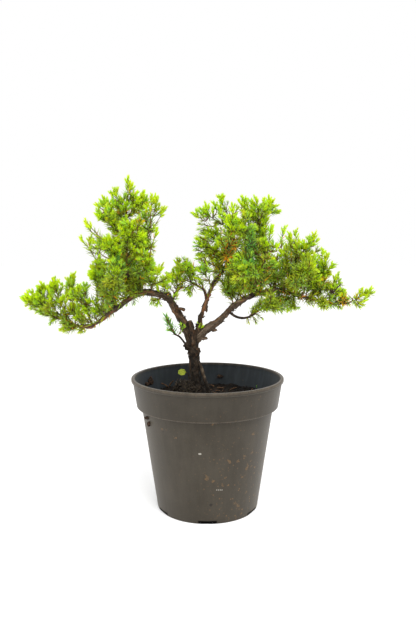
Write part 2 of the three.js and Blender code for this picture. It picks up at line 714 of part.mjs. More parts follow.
// Widened copy of what goes into the soil, which cuts its hole.
function makeSoilHole() {
  let hole = null;
  for (const name of ['trunk', 'dead_stem', 'root_left', 'root_back']) {
    const limb = LIMBS[name];
    const radii = limb.radii.map((radius) => radius + SOIL_HOLE_SLACK);
    const steps = limb.radii.length - 1;
    const piece = solid(limbGeometry(limbCurves[name], radii, limb.sides, steps, SOIL_HOLE_SLACK));
    hole = hole === null ? piece : hole.add(piece);
  }
  const stalkRadii = [WEED_STALK_RADIUS + SOIL_HOLE_SLACK, WEED_STALK_RADIUS + SOIL_HOLE_SLACK];
  const stalkHole = limbGeometry(stalkCurve, stalkRadii, 6, 4, SOIL_HOLE_SLACK);
  return hole.add(solid(stalkHole));
}

function makeWeed() {
  const centre = seen(WEED_LEAF_CENTRE);
  const outline = new THREE.Shape();
  outline.absellipse(0, 0, ...WEED_LEAF_SIZE, 0, 2 * Math.PI);
  const options = { depth: WEED_LEAF_THICKNESS, bevelEnabled: false, curveSegments: 6 };
  const blade = new THREE.ExtrudeGeometry(outline, options);
  blade.rotateX(WEED_LEAF_TILT);
  blade.translate(...centre.toArray());
  const stalk = limbGeometry(stalkCurve, [WEED_STALK_RADIUS, WEED_STALK_RADIUS], 5, 5);
  return solid(blade).add(solid(stalk)).simplify(FINEST);
}

// One spray: a leafy stem with its side shoots, their roots sunk in it.
function makeSpray(spray, obstacles) {
  let body = solid(shootGeometry(spray.stem, 0, spray.owner, 0, obstacles));
  spray.sideCurves.forEach((curve, i) => {
    body = body.add(solid(shootGeometry(curve, 1, spray.owner, i + 1, obstacles)));
  });
  return body.simplify(FINEST);
}

sprays.forEach((spray) => {
  const twigRadii = [spray.twigRadius, TWIG_TIP_RADIUS];
  obstacles.push(...piecesAlong(spray.twig, PATH_PIECES, twigRadii, 'wood', 0));
  obstacles.push(...piecesAlong(spray.stem, PATH_PIECES, STEM_RADII, spray.owner, 0));
});
sprays.forEach((spray) => {
  spray.sideCurves = [];
  for (let i = 0; i < spray.sideShoots; i += 1) {
    const stretch = SIDE_SHOOT_STRETCH / Math.max(spray.sideShoots - 1, 1);
    const along = FIRST_SIDE_SHOOT + stretch * i;
    const turn = spray.turn + i * GOLDEN_TURN;
    const length = SIDE_SHOOT_LENGTH * (1 - SIDE_SHOOT_TAPER * along);
    const curve = sideCurve(spray.stem, along, turn, length);
    const pieces = piecesAlong(curve, PATH_PIECES, STEM_RADII, spray.owner, i + 1);
    const strangers = obstacles.filter((other) => other.owner !== spray.owner);
    if (pieces.every((piece) => isClear(piece, strangers))) {
      obstacles.push(...pieces);
      spray.sideCurves.push(curve);
    }
  }
});

addMesh('pot', geometryOf(makePot()), potMaterial());
addMesh('soil', geometryOf(makeSoil().subtract(makeSoilHole())), soilMaterial());
addMesh('wood', geometryOf(makeWood()), barkMaterial());
addMesh('weed', geometryOf(makeWeed()), weedMaterial());
sprays.forEach((spray) => {
  addMesh(spray.owner, geometryOf(makeSpray(spray, obstacles)), needleMaterial());
});

export default bonsai;
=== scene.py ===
"""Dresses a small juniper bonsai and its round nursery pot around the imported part."""

import math
import random

import bmesh
import bpy
import numpy as np
from bpy.props import FloatProperty, FloatVectorProperty, IntProperty, PointerProperty
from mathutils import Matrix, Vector, noise
from mathutils.kdtree import KDTree


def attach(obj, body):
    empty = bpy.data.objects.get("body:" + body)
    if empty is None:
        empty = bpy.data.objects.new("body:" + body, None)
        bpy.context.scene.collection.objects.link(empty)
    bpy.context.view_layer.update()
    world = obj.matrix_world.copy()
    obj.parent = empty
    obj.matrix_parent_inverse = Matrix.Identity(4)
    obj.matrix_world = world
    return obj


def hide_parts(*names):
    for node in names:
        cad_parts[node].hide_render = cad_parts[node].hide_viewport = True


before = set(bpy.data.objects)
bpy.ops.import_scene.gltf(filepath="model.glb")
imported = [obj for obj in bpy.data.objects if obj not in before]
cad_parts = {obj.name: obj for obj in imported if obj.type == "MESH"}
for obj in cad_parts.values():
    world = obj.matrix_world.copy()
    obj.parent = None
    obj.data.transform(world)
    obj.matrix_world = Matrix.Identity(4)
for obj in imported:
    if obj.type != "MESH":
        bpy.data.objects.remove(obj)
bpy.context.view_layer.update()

bl_info = {
    "name": "Juniper bonsai in a nursery pot",
    "version": (1, 0, 0),
    "blender": (4, 5, 0),
    "location": "3D View > Sidebar > Bonsai",
    "description": "Builds the fine shapes and the finishes of a potted juniper bonsai",
    "category": "Object",
}

# Tables are in millimetres, unless their name says dots, and objects in metres.
MM = 0.001
BODY = "root"

# The plant is measured as an eye in front of it sees it: right and up on an upright pane
# that faces the eye through the pot's middle, and the depth behind that pane.
EYE_DISTANCE = 499.2
EYE_TILT = math.radians(6.02)
EYE_BACK = EYE_DISTANCE * math.cos(EYE_TILT)
EYE_HEIGHT = 210.7
PANE_FOOT = 169.6
PANE_SHIFT = 0.4

# Sizes of the pot
POT_HEIGHT = 106.2
LIP_RADIUS = 61.3
LIP_BOTTOM = 103.2
COLLAR_TOP_RADIUS = 60.0
COLLAR_FOOT = (57.0, 83.4)
BODY_TOP = (53.0, 82.4)
FOOT_RADIUS = 40.8
WALL = 1.4
POT_FLOOR = 1.6
NOTCH_COUNT = 6
NOTCH_SIZE = (0.8, 15.0, 2.4)

# Faces of a box whose corners count up along its third side first
BOX_FACES = [(0, 1, 3, 2), (4, 6, 7, 5), (0, 4, 5, 1), (2, 3, 7, 6), (0, 2, 6, 4), (1, 5, 7, 3)]

# Sizes of the soil
SOIL_LEVEL = 87.5
MOUND_HEIGHT = 6.5
MOUND_SPREAD = 21
MOUND_X = -8
SOIL_LUMP = 0.9
SOIL_FLOOR = 1.9

# How a spray leaves its limb and turns up to the light, as shares of its span
LEAVE_WITH_LIMB = 0.5
LEAVE_SPAN = 0.3
ARRIVE_UPWARD = 0.4
ARRIVE_SPAN = 0.35
SIDE_STATIONS = 12
SIDE_FORWARD = 0.35
FIRST_SIDE_SHOOT = 0.2
SIDE_SHOOT_STRETCH = 0.4
SIDE_SHOOT_TAPER = 0.25
SPRAY_TURN = 1.9
SIDE_SHOOT_LENGTH = 17
SIDE_LEAN = math.radians(44)
GOLDEN_TURN = math.radians(137.5)
SHORTEST_TWIG = 3.5
TWIG_TIP_RADIUS = 0.8
TWIG_TAPER = 0.85
WIDEST_TWIG = 1.1

# Limbs: radius at even stations, and points as [right, up, depth]
LIMBS = {
    "trunk": (
        [7.4, 5.9, 4.7, 4.2, 4.3, 4.6, 4.4, 3.4],
        [(-5, 84, 1), (-6.4, 102, 0), (-8.6, 112, 0), (-10.4, 121, 0),
         (-10.8, 131, 0), (-11.6, 140, 0), (-11.2, 147, 0), (-9.8, 152, 0)],
    ),
    "left": (
        [4.6, 4.2, 3.4, 3.0, 2.7, 2.4, 2.1, 1.8, 1.5, 1.2, 1.0],
        [(-11.4, 142, 0), (-18.4, 158.8, -1), (-25.8, 170.8, -4), (-32.2, 180.8, -8),
         (-41.8, 184.3, -11), (-52.8, 185.2, -12), (-63.2, 180, -14), (-77.6, 169.2, -15),
         (-92, 159.6, -10), (-108.3, 159.5, -4), (-121, 167, 0)],
    ),
    "left_top": (
        [2.2, 2.0, 1.8, 1.6, 1.3, 1.1],
        [(-53.5, 185, -12), (-60, 195.2, -10), (-64, 207.2, -8),
         (-66.4, 223, -6), (-66, 238, -5), (-65.4, 248, -4.5)],
    ),
    "left_back": ([1.5, 1.3, 1.1, 0.9],
                  [(-62, 201, -9), (-66, 208, 2), (-71, 216, 13), (-75, 224, 20)]),
    "left_front": ([1.5, 1.3, 1.1, 0.9],
                   [(-57, 190.4, -11), (-63, 197, -19), (-72, 205, -25), (-79, 213, -29)]),
    "left_side": ([1.5, 1.3, 1.1, 0.9],
                  [(-65.4, 214, -7), (-57, 220, -3), (-50, 229, 1), (-46, 238, 3)]),
    "left_out": ([1.6, 1.4, 1.2, 0.9],
                 [(-72.8, 173.6, -15), (-79, 182, -11), (-85, 192, -6), (-90, 203, -2)]),
    "left_rear": ([1.6, 1.4, 1.2, 0.9],
                  [(-63, 180, -13.5), (-60, 187, -1), (-58, 195, 12), (-56, 205, 21)]),
    "middle": (
        [3.0, 2.1, 1.9, 1.8, 1.7, 1.6, 1.5, 1.3, 1.1],
        [(-8.4, 153, 0), (-6.2, 163.2, -3), (-1.6, 177.6, -5), (4.2, 191.2, -5),
         (11.8, 202.4, -3), (18.1, 212.4, -1), (20.2, 224.4, 1), (20, 236, 2), (18, 246, 2)],
    ),
    "middle_back": ([1.5, 1.3, 1.1, 0.9],
                    [(11.2, 202.4, -2.6), (11, 209, 9), (13, 217, 19), (17, 226, 26)]),
    "middle_front": ([1.4, 1.2, 1.0, 0.9],
                     [(18, 212, -1.4), (16, 217, -12), (17, 224, -20), (19, 231, -25)]),
    "right": (
        [4.2, 3.6, 3.1, 2.7, 2.4, 2.1, 1.9, 1.7, 1.5, 1.3, 1.0],
        [(-9.6, 147.5, 0), (-2.1, 155.2, -1), (10, 163.6, -2), (21, 174.8, -4),
         (35.2, 182.8, -4), (45.6, 185.4, -2), (57.6, 187.2, 0), (73.6, 182.4, 3),
         (90, 178.4, 5), (103, 176.4, 4), (112, 176.8, 2)],
    ),
    "right_front": ([1.6, 1.4, 1.2, 0.9],
                    [(35.6, 183, -4.4), (37, 191, -13), (40, 200, -21), (45, 211, -26)]),
    "right_up": ([1.8, 1.5, 1.3, 1.0],
                 [(40, 184.2, -3), (43, 198, 0), (44, 212, 1), (43, 227, 1)]),
    "right_back": ([1.7, 1.4, 1.2, 0.9],
                   [(52, 186.4, -0.6), (54, 194, 11), (54, 203, 20), (53, 214, 28)]),
    "right_out": ([1.7, 1.4, 1.2, 0.9],
                  [(64, 185.8, 1), (67, 196, -2), (69, 206, -4), (71, 216, -4)]),
    "right_end": ([1.5, 1.3, 1.1, 0.9],
                  [(81, 180.4, 4), (85, 188, 7), (88, 196, 9), (90, 205, 9)]),
    "twig_a": ([1.3, 1.2, 1.0, 0.9],
               [(-1.2, 181, -5), (-3.6, 187.6, -6), (-9.6, 191.2, -5), (-13.6, 193.4, -3)]),
    "twig_c": ([1.2, 1.1, 0.9],
               [(-28.8, 178.4, -7), (-25.6, 185.4, -6), (-20.8, 189.8, -4)]),
    "curved_twig": (
        [1.3, 1.2, 1.1, 1.0, 0.9, 0.8],
        [(16.4, 170.4, -3.4), (21, 166.6, -5), (27.8, 164.8, -7),
         (34.4, 166.4, -9), (39.8, 170.4, -10), (44, 173.2, -11)],
    ),
    "trunk_sprig": (
        [1.3, 1.0, 0.9, 0.8],
        [(-12.4, 138, -1), (-17.6, 143.4, -6), (-22.6, 149.6, -9), (-26.4, 151.6, -11)],
    ),
    "old_stump": ([2.8, 2.6, 2.4, 1.7],
                  [(-11.6, 144, -2), (-12.4, 151, -3), (-13.4, 157, -4), (-14.6, 162.4, -5)]),
    "dead_stub": ([1.3, 1.0, 1.4],
                  [(-24.6, 171.4, -5), (-22, 172.4, -8), (-18.8, 171.2, -9.5)]),
    "dead_stem": (
        [1.4, 2.0, 2.0, 2.2, 2.2],
        [(-7.6, 131, -2.6), (-5.4, 125, -4.6), (-3, 117, -6), (0, 108.4, -6.6), (2, 98, -5)],
    ),
    "root_left": ([4.2, 3.4, 2.6, 1.6],
                  [(-8.4, 109, -1), (-14.5, 106, -5), (-20, 101.5, -7), (-25, 95, -8)]),
    "root_back": ([3.8, 3.0, 1.8],
                  [(-6.4, 106, 1), (-3, 104, 9), (1, 97, 15)]),
}
THICK_LIMBS = ["trunk", "left", "middle", "right", "old_stump", "dead_stub", "dead_stem",
               "root_left", "root_back"]

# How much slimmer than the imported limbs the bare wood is, under its bark
SLIMMER = {"trunk": 0.92, "left": 0.88, "middle": 0.84, "right": 0.88, "dead_stem": 0.72}

# Places on the pane where the wood is cut or worn pale: right, up and radius
PALE_PATCHES = [(-14.4, 163, 1.6), (-4, 123.5, 3.4), (-2.2, 118, 2.0), (24, 179.5, 3)]

# Loose strips of bark: limb, where they start and end along it, and how many
FLAKES = [("trunk", 0.25, 1.0, 70), ("left", 0.02, 0.5, 50), ("right", 0.04, 0.6, 60),
          ("middle", 0.04, 0.7, 30), ("dead_stem", 0.1, 0.9, 8)]

# Knots and torn bark on the wood: place, radius, and stretch along x, y and z
KNOTS = [
    ((-16.8, 142.4, -2), 2.2, (1, 0.9, 1.3)),
    ((-14.6, 135.6, -2), 1.8, (0.9, 0.9, 1.6)),
    ((-7.8, 137.6, -2.4), 1.9, (0.8, 1, 1.7)),
    ((-1.8, 172.6, -5.6), 1.9, (1, 0.8, 1.4)),
    ((-3.6, 148.6, -1.6), 1.8, (1.5, 0.7, 0.8)),
    ((4.6, 155.2, -1.8), 1.6, (1.6, 0.7, 0.7)),
    ((-31.6, 180.6, -8), 3.3, (0.9, 0.8, 1.1)),
    ((-94.5, 158.2, -9), 2.4, (1.5, 0.8, 0.8)),
]

# Leafy sprays: limb, place along it, tip as [right, up, depth], leafy length, side shoots
SPRAYS = [
    # Tall left head
    ("left_top", 1.0, (-64.3, 279, -4), 26, 3),
    ("left_top", 0.86, (-74.6, 270.1, -14), 25, 2),
    ("left_top", 0.9, (-50.4, 267.5, 6), 26, 3),
    ("left_side", 0.9, (-40.2, 261, -6), 24, 2),
    ("left_side", 0.55, (-35.5, 252, 18), 25, 2),
    ("left_top", 0.74, (-84.4, 261, 6), 26, 2),
    ("left_top", 0.68, (-89.9, 251.7, -20), 25, 2),
    ("left_out", 1.0, (-84, 229, 4), 16, 2),
    ("left_out", 0.62, (-88, 211, -8), 14, 2),
    ("left_front", 0.7, (-81, 230, -44), 22, 3),
    ("left_front", 0.35, (-64, 240, -38), 26, 2),
    ("left_side", 0.35, (-42.6, 238, -22), 25, 2),
    ("left_side", 0.15, (-43, 206, -2), 20, 2),
    ("left_out", 0.35, (-94, 203, -18), 21, 2),
    ("left_back", 1.0, (-74, 252, 30), 26, 2),
    ("left_back", 0.7, (-94, 228, 26), 24, 2),
    ("left_rear", 1.0, (-52, 238, 32), 26, 2),
    ("left_rear", 0.6, (-68, 214, 42), 22, 2),
    ("left_rear", 0.3, (-36, 208, 24), 22, 2),
    ("left_top", 0.08, (-46, 213, -38), 22, 2),
    ("left", 0.62, (-74, 204, -46), 22, 2),
    # Low left pad
    ("left", 1.0, (-148.6, 181.6, -2), 24, 2),
    ("left", 0.93, (-137, 191.5, 10), 24, 2),
    ("left", 0.89, (-125, 197.4, -10), 25, 2),
    ("left", 0.83, (-112.6, 198, 8), 24, 2),
    ("left", 0.77, (-99.6, 194, -18), 22, 2),
    ("left", 0.95, (-136, 171, -14), 18, 2),
    ("left", 0.84, (-117, 156, -22), 20, 2),
    ("left", 0.8, (-103, 154, 10), 18, 2),
    # Middle tufts
    ("twig_c", 1.0, (-24.8, 211.2, 4), 20, 2),
    ("twig_a", 1.0, (-15, 210, -12), 18, 2),
    ("middle", 0.38, (-5.4, 208, -18), 19, 2),
    ("left", 0.4, (-38, 206, -24), 20, 2),
    ("trunk_sprig", 1.0, (-34.6, 168.4, -13), 15, 0),
    # Right head
    ("middle", 0.86, (-7, 254.2, -2), 26, 2),
    ("middle", 0.94, (8.6, 264, -8), 25, 2),
    ("middle_front", 1.0, (19.4, 257, -30), 25, 2),
    ("right_up", 1.0, (27.2, 263.8, 2), 26, 3),
    ("right_up", 0.85, (38.6, 262.6, -12), 26, 2),
    ("right_up", 0.8, (49, 263, 18), 26, 2),
    ("right_up", 0.55, (47, 246, -4), 22, 2),
    ("right_front", 1.0, (51, 240, -40), 24, 2),
    ("right_out", 1.0, (70, 236, 6), 22, 2),
    ("right_out", 0.72, (84, 232, -14), 24, 2),
    ("right_end", 1.0, (92.6, 220.6, 22), 20, 2),
    ("right_end", 0.6, (101, 209, -2), 22, 2),
    ("middle", 0.62, (-9.6, 230, -12), 23, 2),
    ("middle_back", 0.8, (-3, 236, 32), 24, 2),
    ("middle_back", 1.0, (22, 250, 42), 24, 2),
    ("right_back", 0.6, (74, 228, 38), 24, 2),
    ("right_front", 0.5, (28, 208, -44), 21, 2),
    ("right", 0.72, (74, 206, -30), 22, 2),
    # Low right edge
    ("curved_twig", 0.9, (54, 177, -26), 19, 2),
    ("right", 0.82, (93, 172.5, -15), 17, 2),
    ("right", 0.93, (109.6, 188.4, 10), 16, 2),
    ("right", 1.0, (130, 188, -2), 20, 2),
]

# Pieces of foliage: first and last spray, and the limbs whose own tufts they hold
FOLIAGE = {
    "foliage_left_crown": (1, 9, ["left_top"]),
    "foliage_left_heart": (10, 21, ["left_back", "left_front", "left_side", "left_out",
                                    "left_rear"]),
    "foliage_low_left": (22, 29, ["left"]),
    "foliage_middle": (30, 34, ["twig_a", "twig_c"]),
    "foliage_right_crown": (35, 43, ["middle", "middle_front", "right_up"]),
    "foliage_right_heart": (44, 52, ["middle_back", "right_front", "right_back", "right_out"]),
    "foliage_right_edge": (53, 56, ["right", "right_end"]),
}

# The four tables below keep places as they were read off the picture, in its dots from
# the left and from the top. On the pane a dot is 0.8 mm and the pot's foot at (208, 524).
DOT = 0.8
FOOT_COLUMN = 208
FOOT_ROW = 524

# Outlines of the crown's dense parts
OUTLINE_DOTS = [
    [
        (120, 300), (100, 300), (99, 293), (95, 285), (90, 277), (91, 268), (96, 262), (93, 255),
        (89, 247), (92, 243), (99, 249), (105, 252), (103, 246), (98, 242), (104, 237),
        (109, 234), (109, 227), (101, 222), (97, 217), (97, 206), (100, 203), (107, 202),
        (112, 199), (118, 202), (122, 199), (126, 194), (131, 194), (135, 197), (139, 198),
        (144, 195), (148, 201), (152, 199), (155, 202), (152, 208), (151, 216), (149, 224),
        (147, 230), (146, 238), (150, 244), (153, 240), (154, 250), (150, 258), (153, 262),
        (156, 268), (153, 275), (157, 282), (160, 290), (150, 293),
    ],
    [
        (118, 312), (104, 317), (96, 322), (88, 328), (80, 328), (76, 325), (70, 326), (62, 327),
        (60, 323), (54, 320), (50, 315), (44, 311), (38, 308), (32, 304), (26, 299), (25, 296),
        (30, 293), (36, 291), (40, 287), (44, 288), (49, 286), (54, 282), (58, 283), (61, 287),
        (62, 293), (66, 292), (68, 286), (70, 280), (73, 279), (74, 286), (78, 289), (83, 288),
        (86, 292), (87, 299), (93, 301), (99, 304), (104, 307), (108, 299), (120, 297),
    ],
    [
        (158, 290), (158, 278), (164, 273), (172, 270), (178, 265), (183, 263), (188, 264),
        (192, 267), (200, 268), (208, 268), (217, 271), (217, 277), (209, 276), (200, 274),
        (194, 277), (203, 280), (206, 283), (195, 285), (188, 287), (182, 288), (176, 290),
        (170, 292), (160, 294),
    ],
    [
        (226, 300), (221.5, 291), (218, 283), (216, 277), (214, 267), (205, 264), (199, 256),
        (199, 248), (202, 240), (204, 231), (208, 224), (205, 216), (200, 212), (206, 208),
        (209, 214), (214, 224), (219, 218), (217, 208), (219, 202), (224, 206), (226, 218),
        (231, 215), (236, 218), (243, 222), (242, 212), (242, 204), (246, 204), (249, 212),
        (253, 206), (257, 209), (262, 204), (268, 202), (273, 206), (271, 213), (266, 218),
        (264, 226), (264, 236), (268, 246), (276, 247), (284, 247), (290, 240), (295, 240),
        (299, 246), (304, 244), (311, 241), (315, 246), (317, 252), (321, 257), (324, 263),
        (326, 269), (331, 273), (334, 280), (338, 286), (341, 292), (346, 299), (349, 305),
        (340, 307), (328, 305.5), (316, 303), (306, 300), (296, 297), (285, 296), (270, 294),
        (255, 297), (240, 300),
    ],
    [
        (161, 311), (168, 311), (173, 319), (178, 329), (181, 336), (180, 343), (174, 339),
        (168, 331), (164, 321),
    ],
    [
        (244, 319), (249, 324), (258, 323), (262, 317), (251, 316), (247, 317), (246, 313),
        (256, 306), (262, 299), (270, 295), (280, 295), (290, 297), (299, 299), (298, 306),
        (294, 308), (290, 310), (284, 308), (279, 311), (274, 310), (268, 311), (262, 310),
        (256, 314),
    ],
]

# Sky that shows through the crown: place and radius
GAP_DOTS = [
    (103, 209.5, 2.6), (81, 254, 3.6), (84, 262, 2.2), (84, 234, 3.0), (87, 243, 2.4),
    (131.5, 221, 2.2), (105, 256, 5.2), (136, 232, 2.4), (100.5, 254, 2.0), (150, 236, 3.2),
    (151.5, 231, 1.8), (158, 222, 2.4), (153.5, 219, 2.0), (277, 221, 3.4), (300, 290, 1.7),
    (217, 216, 2.8), (266.5, 226, 2.8), (98, 227, 3.6), (104, 229, 2.6), (115.5, 211.5, 2.4),
    (153, 213, 2.6), (58.5, 312, 2.0), (63.5, 309, 1.4), (64, 316, 1.2), (72, 317.5, 2.0),
    (75, 321, 1.6), (81, 323.5, 1.8), (53.5, 301.5, 1.2), (64, 287.5, 2.2), (64, 293.5, 2.4),
    (81, 294, 1.0), (288, 273, 1.2), (275, 288, 1.8), (301, 291, 2.4), (304, 293, 2.2),
    (324, 297, 2.0), (197, 272.5, 1.6), (170, 286, 1.2), (220.5, 262.5, 1.6), (229.5, 251, 0.8),
    (113, 277.5, 1.2), (142, 269, 1.4), (213, 246, 1.4), (222, 226, 2.2), (262, 263, 0.8),
    (317, 266, 1.8), (262, 302, 1.4), (284, 300, 1.6), (286, 303, 1.0),
]

# Single shoots: where they leave the crown, their tip, and side buds at it
FINGER_DOTS = [
    # Tall left head
    (103, 240, 84.2, 221.4, 4), (101, 240, 87, 227, 1), (98, 261, 79.3, 237, 3),
    (129, 198, 132.8, 183, 4), (131, 196, 130.3, 184, 1), (132, 201, 137.5, 190.8, 3),
    (141, 206, 141.5, 194.5, 3), (146, 205, 147, 195, 2), (150, 210, 152.5, 194.4, 4),
    (151, 209, 157.5, 196, 4), (154, 217, 159.6, 205, 3), (155, 218, 164.6, 206.6, 3),
    (116, 200, 116.6, 188, 2), (114, 202, 110.6, 191, 4), (120, 207, 120.4, 196.6, 4),
    (108, 208, 104.3, 197, 4), (106, 210, 100.4, 200, 3), (104, 211, 95.6, 203, 3),
    (110, 219, 96, 214.6, 2), (92, 252, 89, 237, 4), (100, 252, 97.5, 239.5, 3),
    (103, 270, 103, 258.8, 4), (98, 276, 90.6, 264.8, 4), (100, 283, 88, 273.8, 3),
    (150, 272, 156.5, 267, 3), (150, 275, 158, 270, 2), (150, 250, 157.6, 228, 2),
    (124, 238, 124.8, 222.6, 5), (128, 240, 127.8, 228.6, 4), (110, 250, 110.5, 238, 3),
    (105, 249, 103.5, 238.5, 2), (138, 260, 138, 249.5, 3), (143, 247, 141, 233, 3),
    (135, 248, 135, 237, 2), (118, 232, 116.5, 222, 3), (130, 250, 130.5, 243, 2),
    (115, 262, 114, 255, 2), (146, 262, 148, 250, 3), (133, 214, 131, 203, 3),
    (125, 212, 127, 204.5, 3), (113, 212, 113, 203, 3), (118, 215, 117, 206, 2),
    (140, 212, 139.5, 201, 3), (145, 214, 146.5, 204, 2), (107, 216, 108, 206, 3),
    # Low left pad
    (50, 309, 36, 312.5, 2), (57, 312, 45, 315.5, 1), (54, 305, 38, 306, 1),
    (34, 299, 22.5, 295.6, 3), (33, 299, 25.3, 293.2, 3), (36, 297, 28.8, 289.6, 3),
    (30, 300, 24.5, 300, 2), (36, 303, 27, 303.5, 2), (38, 306, 31, 306.5, 2),
    (43, 294, 41.2, 282, 4), (45, 294, 44.3, 284.5, 2), (40, 295, 37, 287.2, 2),
    (50, 292, 50.8, 282.4, 2), (55, 291, 53.8, 277.4, 3), (57, 290, 57.3, 279.4, 3),
    (60, 293, 62.4, 283, 3), (71, 287, 73.3, 273.2, 4), (71, 286, 70.4, 275.4, 2),
    (73, 287, 75, 280, 1), (70, 292, 64, 285, 2), (78, 294, 77.6, 284.4, 3),
    (79, 294, 80.4, 286.6, 2), (85, 297, 86.8, 283.5, 1), (65, 307, 63.6, 296.2, 4),
    (60, 306, 60.5, 297.5, 3), (70, 302, 66.5, 295, 1), (54, 318, 50.2, 323.6, 2),
    (55, 316, 51.5, 316.5, 3), (78, 325, 60, 329.2, 3), (76, 326, 64, 331, 1),
    (77, 327, 67.5, 333, 1), (84, 327, 79.8, 333, 0), (92, 302, 93.5, 297.5, 1),
    (128, 298, 127, 305, 0), (133, 297, 134, 304, 0), (122, 300, 121, 307, 0),
    (90, 304, 88, 299, 2), (97, 304, 97, 300, 1), (45, 300, 43, 291, 3), (38, 301, 36, 294, 3),
    (50, 300, 49, 290, 3), (33, 303, 30, 297, 3), (72, 312, 70, 303, 2), (80, 318, 79, 310, 2),
    # Middle tufts
    (176, 336, 167, 317, 1), (175, 333, 170, 323, 0), (174, 332, 167.5, 329, 0),
    (181, 330, 180.7, 324.5, 1), (190, 283, 184, 290.5, 2), (192, 283, 188, 293, 2),
    (152, 298, 155, 303.5, 1), (158, 299, 161, 305, 1), (182, 272, 177.2, 258.4, 1),
    (184, 270, 183.8, 258, 1), (186, 272, 187, 261, 1), (193, 270, 190.2, 261.6, 0),
    (184, 271, 176.2, 262.6, 2), (180, 276, 177, 268, 2), (175, 277, 172.5, 269, 2),
    (172, 279, 167, 272, 3), (170, 282, 163, 275.5, 2), (220, 274, 193, 267.4, 0),
    (208, 282, 194, 277, 2), (222, 278, 215, 270, 1), (223, 282, 214, 275, 1),
    (206, 286, 199, 282, 1), (200, 281, 197, 275.6, 0), (168, 292, 164, 283, 2),
    (172, 290, 168, 285, 1), (160, 294, 156, 285, 2), (192, 286, 188.5, 294.6, 1),
    (193, 287, 190.8, 295.6, 0), (173.5, 300, 176.8, 292.5, 2), (173.5, 299, 177.5, 298, 1),
    (161, 299, 153, 301, 1), (159, 300, 156, 304.6, 1), (158, 300, 152, 298.8, 0),
    (185, 329, 180, 324.8, 0), (186, 330, 183.2, 328, 0), (200, 330, 197.8, 322.4, 3),
    (201, 330, 202, 324.6, 2),
    # Right head
    (264, 214, 280.5, 211.5, 3), (213, 227, 199, 224, 0), (211, 233, 198, 229.5, 0),
    (208, 241, 197, 236, 0), (206, 247, 194.5, 242.5, 0), (204, 252, 194, 250, 0),
    (206, 258, 196, 259, 0), (214, 216, 212, 207, 2), (222, 214, 220.5, 205, 2),
    (205, 221, 192.8, 212.4, 3), (206, 220, 197, 208.6, 3), (207, 219, 206, 203.8, 4),
    (208, 216, 209, 206, 2), (222, 209, 223, 194.6, 4), (217, 212, 213.6, 201.4, 3),
    (226, 214, 227.4, 202, 0), (235, 213, 236.8, 206, 1), (243, 211, 239.4, 199.4, 3),
    (245, 212, 247, 199, 3), (247, 214, 247.8, 207, 1), (254, 209, 251.4, 199, 3),
    (253, 212, 251, 204.6, 2), (266, 208, 264.2, 197.8, 3), (269, 208, 273.6, 199.6, 3),
    (270, 210, 276, 204.6, 3), (269, 212, 276, 211.5, 3), (280, 248, 284.7, 226, 3),
    (273, 252, 272.8, 240.4, 2), (277, 252, 277.3, 243.8, 2), (282, 250, 281, 240, 1),
    (292, 248, 290, 232.4, 4), (291, 246, 288.6, 236, 2), (306, 251, 303, 240, 3),
    (309, 248, 308.4, 236.4, 3), (312, 246, 315.4, 232.4, 4), (313, 246, 318, 238.5, 2),
    (299, 252, 298.5, 243, 3), (314, 254, 318, 247, 1), (326, 268, 328.4, 253.4, 4),
    (325, 268, 325, 255, 3), (328, 269, 335.6, 264.6, 0), (323, 270, 321.6, 258, 2),
    (336, 285, 338, 272.8, 3), (336, 286, 341, 279, 2), (334, 286, 333.6, 276, 2),
    (337, 288, 342, 284, 1), (343, 302, 345, 289.8, 3), (342, 301, 341, 293, 2),
    (344, 303, 347, 297.5, 1), (210, 237, 201, 232, 2), (213, 232, 200, 228.4, 0),
    (204, 248, 194, 246.6, 0), (208, 257, 196.4, 254, 3), (208, 268, 201.6, 261, 2),
    (206, 262, 197, 259, 0), (216, 234, 215.4, 223.6, 3), (212, 236, 211, 228, 2),
    (218, 250, 217.4, 241, 3), (222, 240, 220.4, 226, 1), (229, 234, 228.4, 216.4, 6),
    (232, 234, 231, 224, 3), (237, 234, 237, 222, 3), (243, 232, 243, 222.6, 2),
    (243, 278, 243.6, 267, 5), (262, 266, 262, 259.6, 3), (272, 264, 272, 257.4, 2),
    (256, 232, 258, 222, 3), (262, 230, 264, 220, 2), (262, 237, 263.5, 228, 3),
    (281, 258, 281, 250, 4), (304, 252, 306, 244, 3), (336, 300, 338, 289, 3),
    (325, 274, 321, 270, 2),
    # Right edge
    (361, 297, 373, 288, 3), (366, 296, 374, 292, 1), (247, 316, 249, 323, 0),
    (252, 315, 256.5, 323, 0), (256, 313, 262.5, 319, 0), (258, 310, 262, 299, 1),
    (262, 306, 268, 299, 1), (346, 299, 349, 305, 0), (352, 298, 354, 303, 0),
    (341, 300, 343, 306, 0), (358, 303, 369.4, 295.6, 3), (358, 302, 361.5, 288.6, 3),
    (356, 303, 356.4, 294.6, 1), (357, 304, 366, 300.6, 2), (355, 304, 364, 304.6, 3),
    (362, 298, 366.5, 289.5, 2), (251, 316, 263, 300, 1), (249, 317, 257, 308, 1),
    (254, 315, 259, 310, 0), (258, 306, 256.6, 309, 0), (268, 297, 268, 309, 1),
    (271, 297, 275, 311, 2), (277, 297, 281.6, 310, 2), (288, 298, 287.5, 311, 1),
    (291, 298, 295.4, 309, 3), (292, 299, 291.5, 311, 2), (304, 300, 309, 304, 0),
    (309, 300, 313, 305.6, 0), (315, 301, 318, 305, 0), (320, 303, 323, 306.6, 0),
    (325, 304, 328, 308, 1), (338, 305, 341, 309, 1),
]

